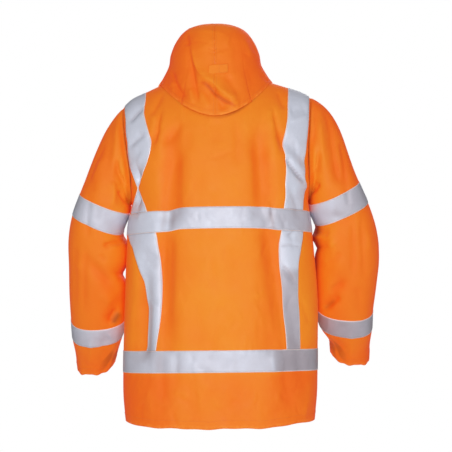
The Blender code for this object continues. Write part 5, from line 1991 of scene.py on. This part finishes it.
def build_sleeve(kit, side):
    grid, relief, tone, shade_and_mottle, number = sleeve_grid(side)
    cloth = hemmed(grid, "top", CUFF_TURN_UP, ring=True)
    cloth = seamed(cloth, ("foot",), ring=True)
    cloth = pulled_in(cloth, ("foot",), SEAM_GAP)
    wear = edge_wear(cloth, ("foot", "top"))
    node = f"sleeve_{side}"
    add_cloth(kit, node, cloth, wear, tone, shade_and_mottle, ring=True, rests_on=["back_cloth"])
    sew(kit, cloth, [("top", HEM_STITCH_INSET)], ring=True)
    for band, (first, last) in (("upper", UPPER_BAND), ("lower", LOWER_BAND)):
        rows = (number[first], number[last])
        strip = tape_surface(grid, rows, None, ring=True)
        add_tape(kit, f"tape_{node}_{band}", strip, part_of(relief, rows, None), ring=True)


def build_hood(kit):
    for side, seam in (("left", "right"), ("right", "left")):
        grid, relief, line = hood_grid(side)
        cloth = seamed(grid, (seam,), **HOOD_SEAM)
        cloth = pulled_in(cloth, (seam,), SEAM_GAP)
        for edge in ("foot", "top"):
            cloth = hemmed(cloth, edge, HOOD_HEM_INSET)
        # Painted shade along the line under the hood's fold, in its tone and in its darker colour
        tone = hood_tone(grid, relief) + HOOD_LINE_PAINTED_SHADE * line
        shade_and_mottle = HOOD_LINE_DEEP_PAINTED_SHADE * line
        wear = edge_wear(cloth, ("foot", "top"))
        on_back = {"held": "draped", "rests_on": ["back_cloth"]}
        add_cloth(kit, f"hood_{side}", cloth, wear, tone, shade_and_mottle, **on_back)
        insets = ((seam, HOOD_SEAM_INSET), ("foot", HOOD_HEM_INSET), ("top", HOOD_HEM_INSET))
        sew(kit, cloth, insets)


def build_tab(kit):
    tab = tab_grid()
    add_cloth(
        kit,
        "hood_tab",
        tab,
        TAB_WEAR,
        HOOD_PAINTED_SHADE + TAB_TONE,
        thickness=TAB_CLOTH,
        held="laid",
        rests_on=["hood_left_cloth", "hood_right_cloth"],
    )
    insets = [(edge, TAB_STITCH_INSET) for edge in EDGES]
    sew(kit, tab, insets, thickness=TAB_CLOTH, first_column=TAB_CELLS[0] // 2)


# ---------------------------------------------------------------- camera, light and floor

# The camera stands behind the jacket. Its picture is square, and the neck's middle is at
# NECK_PIXEL in it.
PICTURE_SIZE = 452
OUTLINE_MM_PER_PIXEL = 2.37
NECK_PIXEL = (218.3, 75.5)
CAMERA_DISTANCE = 3.0
CAMERA_Z = -0.52
CAMERA_ROLL = 0.7
SENSOR = 36.0

WHITE = (1.0, 1.0, 1.0, 1.0)
STUDIO_LIGHT = 0.26
Lamp = namedtuple("Lamp", "place size power")
LAMPS = {"key": Lamp((0.1, -3.3, -0.10), 1.3, 80.0), "behind": Lamp((0.4, 3.0, 1.2), 2.0, 40.0)}
LIT_PLACE = (0.0, 0.0, -0.36)

FLOOR_Z = -1.45
FLOOR_RADIUS = 2.6
FLOOR_CORNERS = 96
FLOOR_FINISH = {"Base Color": (0.86, 0.86, 0.86, 1.0), "Roughness": 0.8}


def facing(place, aim, roll=0.0):
    """The matrix of a camera or lamp at a place that looks at aim."""
    forward = (Vector(aim) - Vector(place)).normalized()
    right = forward.cross(Vector((0, 0, 1))).normalized()
    up = right.cross(forward)
    turn = np.radians(roll)
    columns = [
        right * np.cos(turn) - up * np.sin(turn),
        right * np.sin(turn) + up * np.cos(turn),
        -forward,
    ]
    matrix = Matrix(columns).transposed().to_4x4()
    matrix.translation = Vector(place)
    return matrix


def add_camera():
    scale = OUTLINE_MM_PER_PIXEL * MM
    middle = PICTURE_SIZE / 2
    aim_x = (middle - NECK_PIXEL[0]) * scale
    aim_z = -(middle - NECK_PIXEL[1]) * scale
    data = bpy.data.cameras.new("camera")
    data.sensor_width = SENSOR
    data.lens = SENSOR * CAMERA_DISTANCE / scale / PICTURE_SIZE
    camera = placed("camera", data)
    place = (aim_x, -CAMERA_DISTANCE, CAMERA_Z)
    camera.matrix_world = facing(place, (aim_x, 0.0, aim_z), CAMERA_ROLL)
    bpy.context.scene.camera = camera


def add_lamps():
    for name, lamp in LAMPS.items():
        data = bpy.data.lights.new(name, "AREA")
        data.size = lamp.size
        data.energy = lamp.power
        placed(name, data).matrix_world = facing(lamp.place, LIT_PLACE)


def add_surroundings():
    """A white background, which lights the jacket less than it shows."""
    scene = bpy.context.scene
    scene.view_settings.view_transform = "Standard"
    scene.world = bpy.data.worlds.new("studio")
    scene.world.use_nodes = True
    tree = scene.world.node_tree
    shown = tree.nodes["Background"]
    connect(tree, shown, {"Color": WHITE, "Strength": 1.0})
    lighting = add(tree, "ShaderNodeBackground", {"Color": WHITE, "Strength": STUDIO_LIGHT})
    rays = add(tree, "ShaderNodeLightPath", {})
    sides = {0: rays.outputs["Is Camera Ray"], 1: lighting.outputs[0], 2: shown.outputs[0]}
    both = add(tree, "ShaderNodeMixShader", sides)
    connect(tree, tree.nodes["World Output"], {"Surface": both.outputs[0]})


def add_floor():
    angle = np.linspace(0, 2 * np.pi, FLOOR_CORNERS, endpoint=False)
    height = np.full(FLOOR_CORNERS, FLOOR_Z)
    ring = np.stack([FLOOR_RADIUS * np.cos(angle), FLOOR_RADIUS * np.sin(angle), height], axis=-1)
    mesh = new_mesh("floor", ring, np.arange(FLOOR_CORNERS)[None])
    material, tree, shader = new_material("pale_floor")
    connect(tree, shader, FLOOR_FINISH)
    mesh.materials.append(material)
    floor = placed("floor", mesh)


# ---------------------------------------------------------------- everything


def main():
    kit = Kit(orange_cloth(), reflective_tape(), [], [])
    build_body(kit)
    for side in SIDE_SIGN:
        build_sleeve(kit, side)
    build_hood(kit)
    build_tab(kit)
    grey_thread = thread_material("grey_thread", GREY_THREAD)
    orange_thread = thread_material("orange_thread", ORANGE_THREAD)
    add_stitches("tape_stitching", kit.tape_rows, TAPE_THREAD, grey_thread)
    add_stitches("cloth_stitching", kit.cloth_rows, CLOTH_THREAD, orange_thread)
    add_camera()
    add_surroundings()
    add_lamps()
    add_floor()


main()
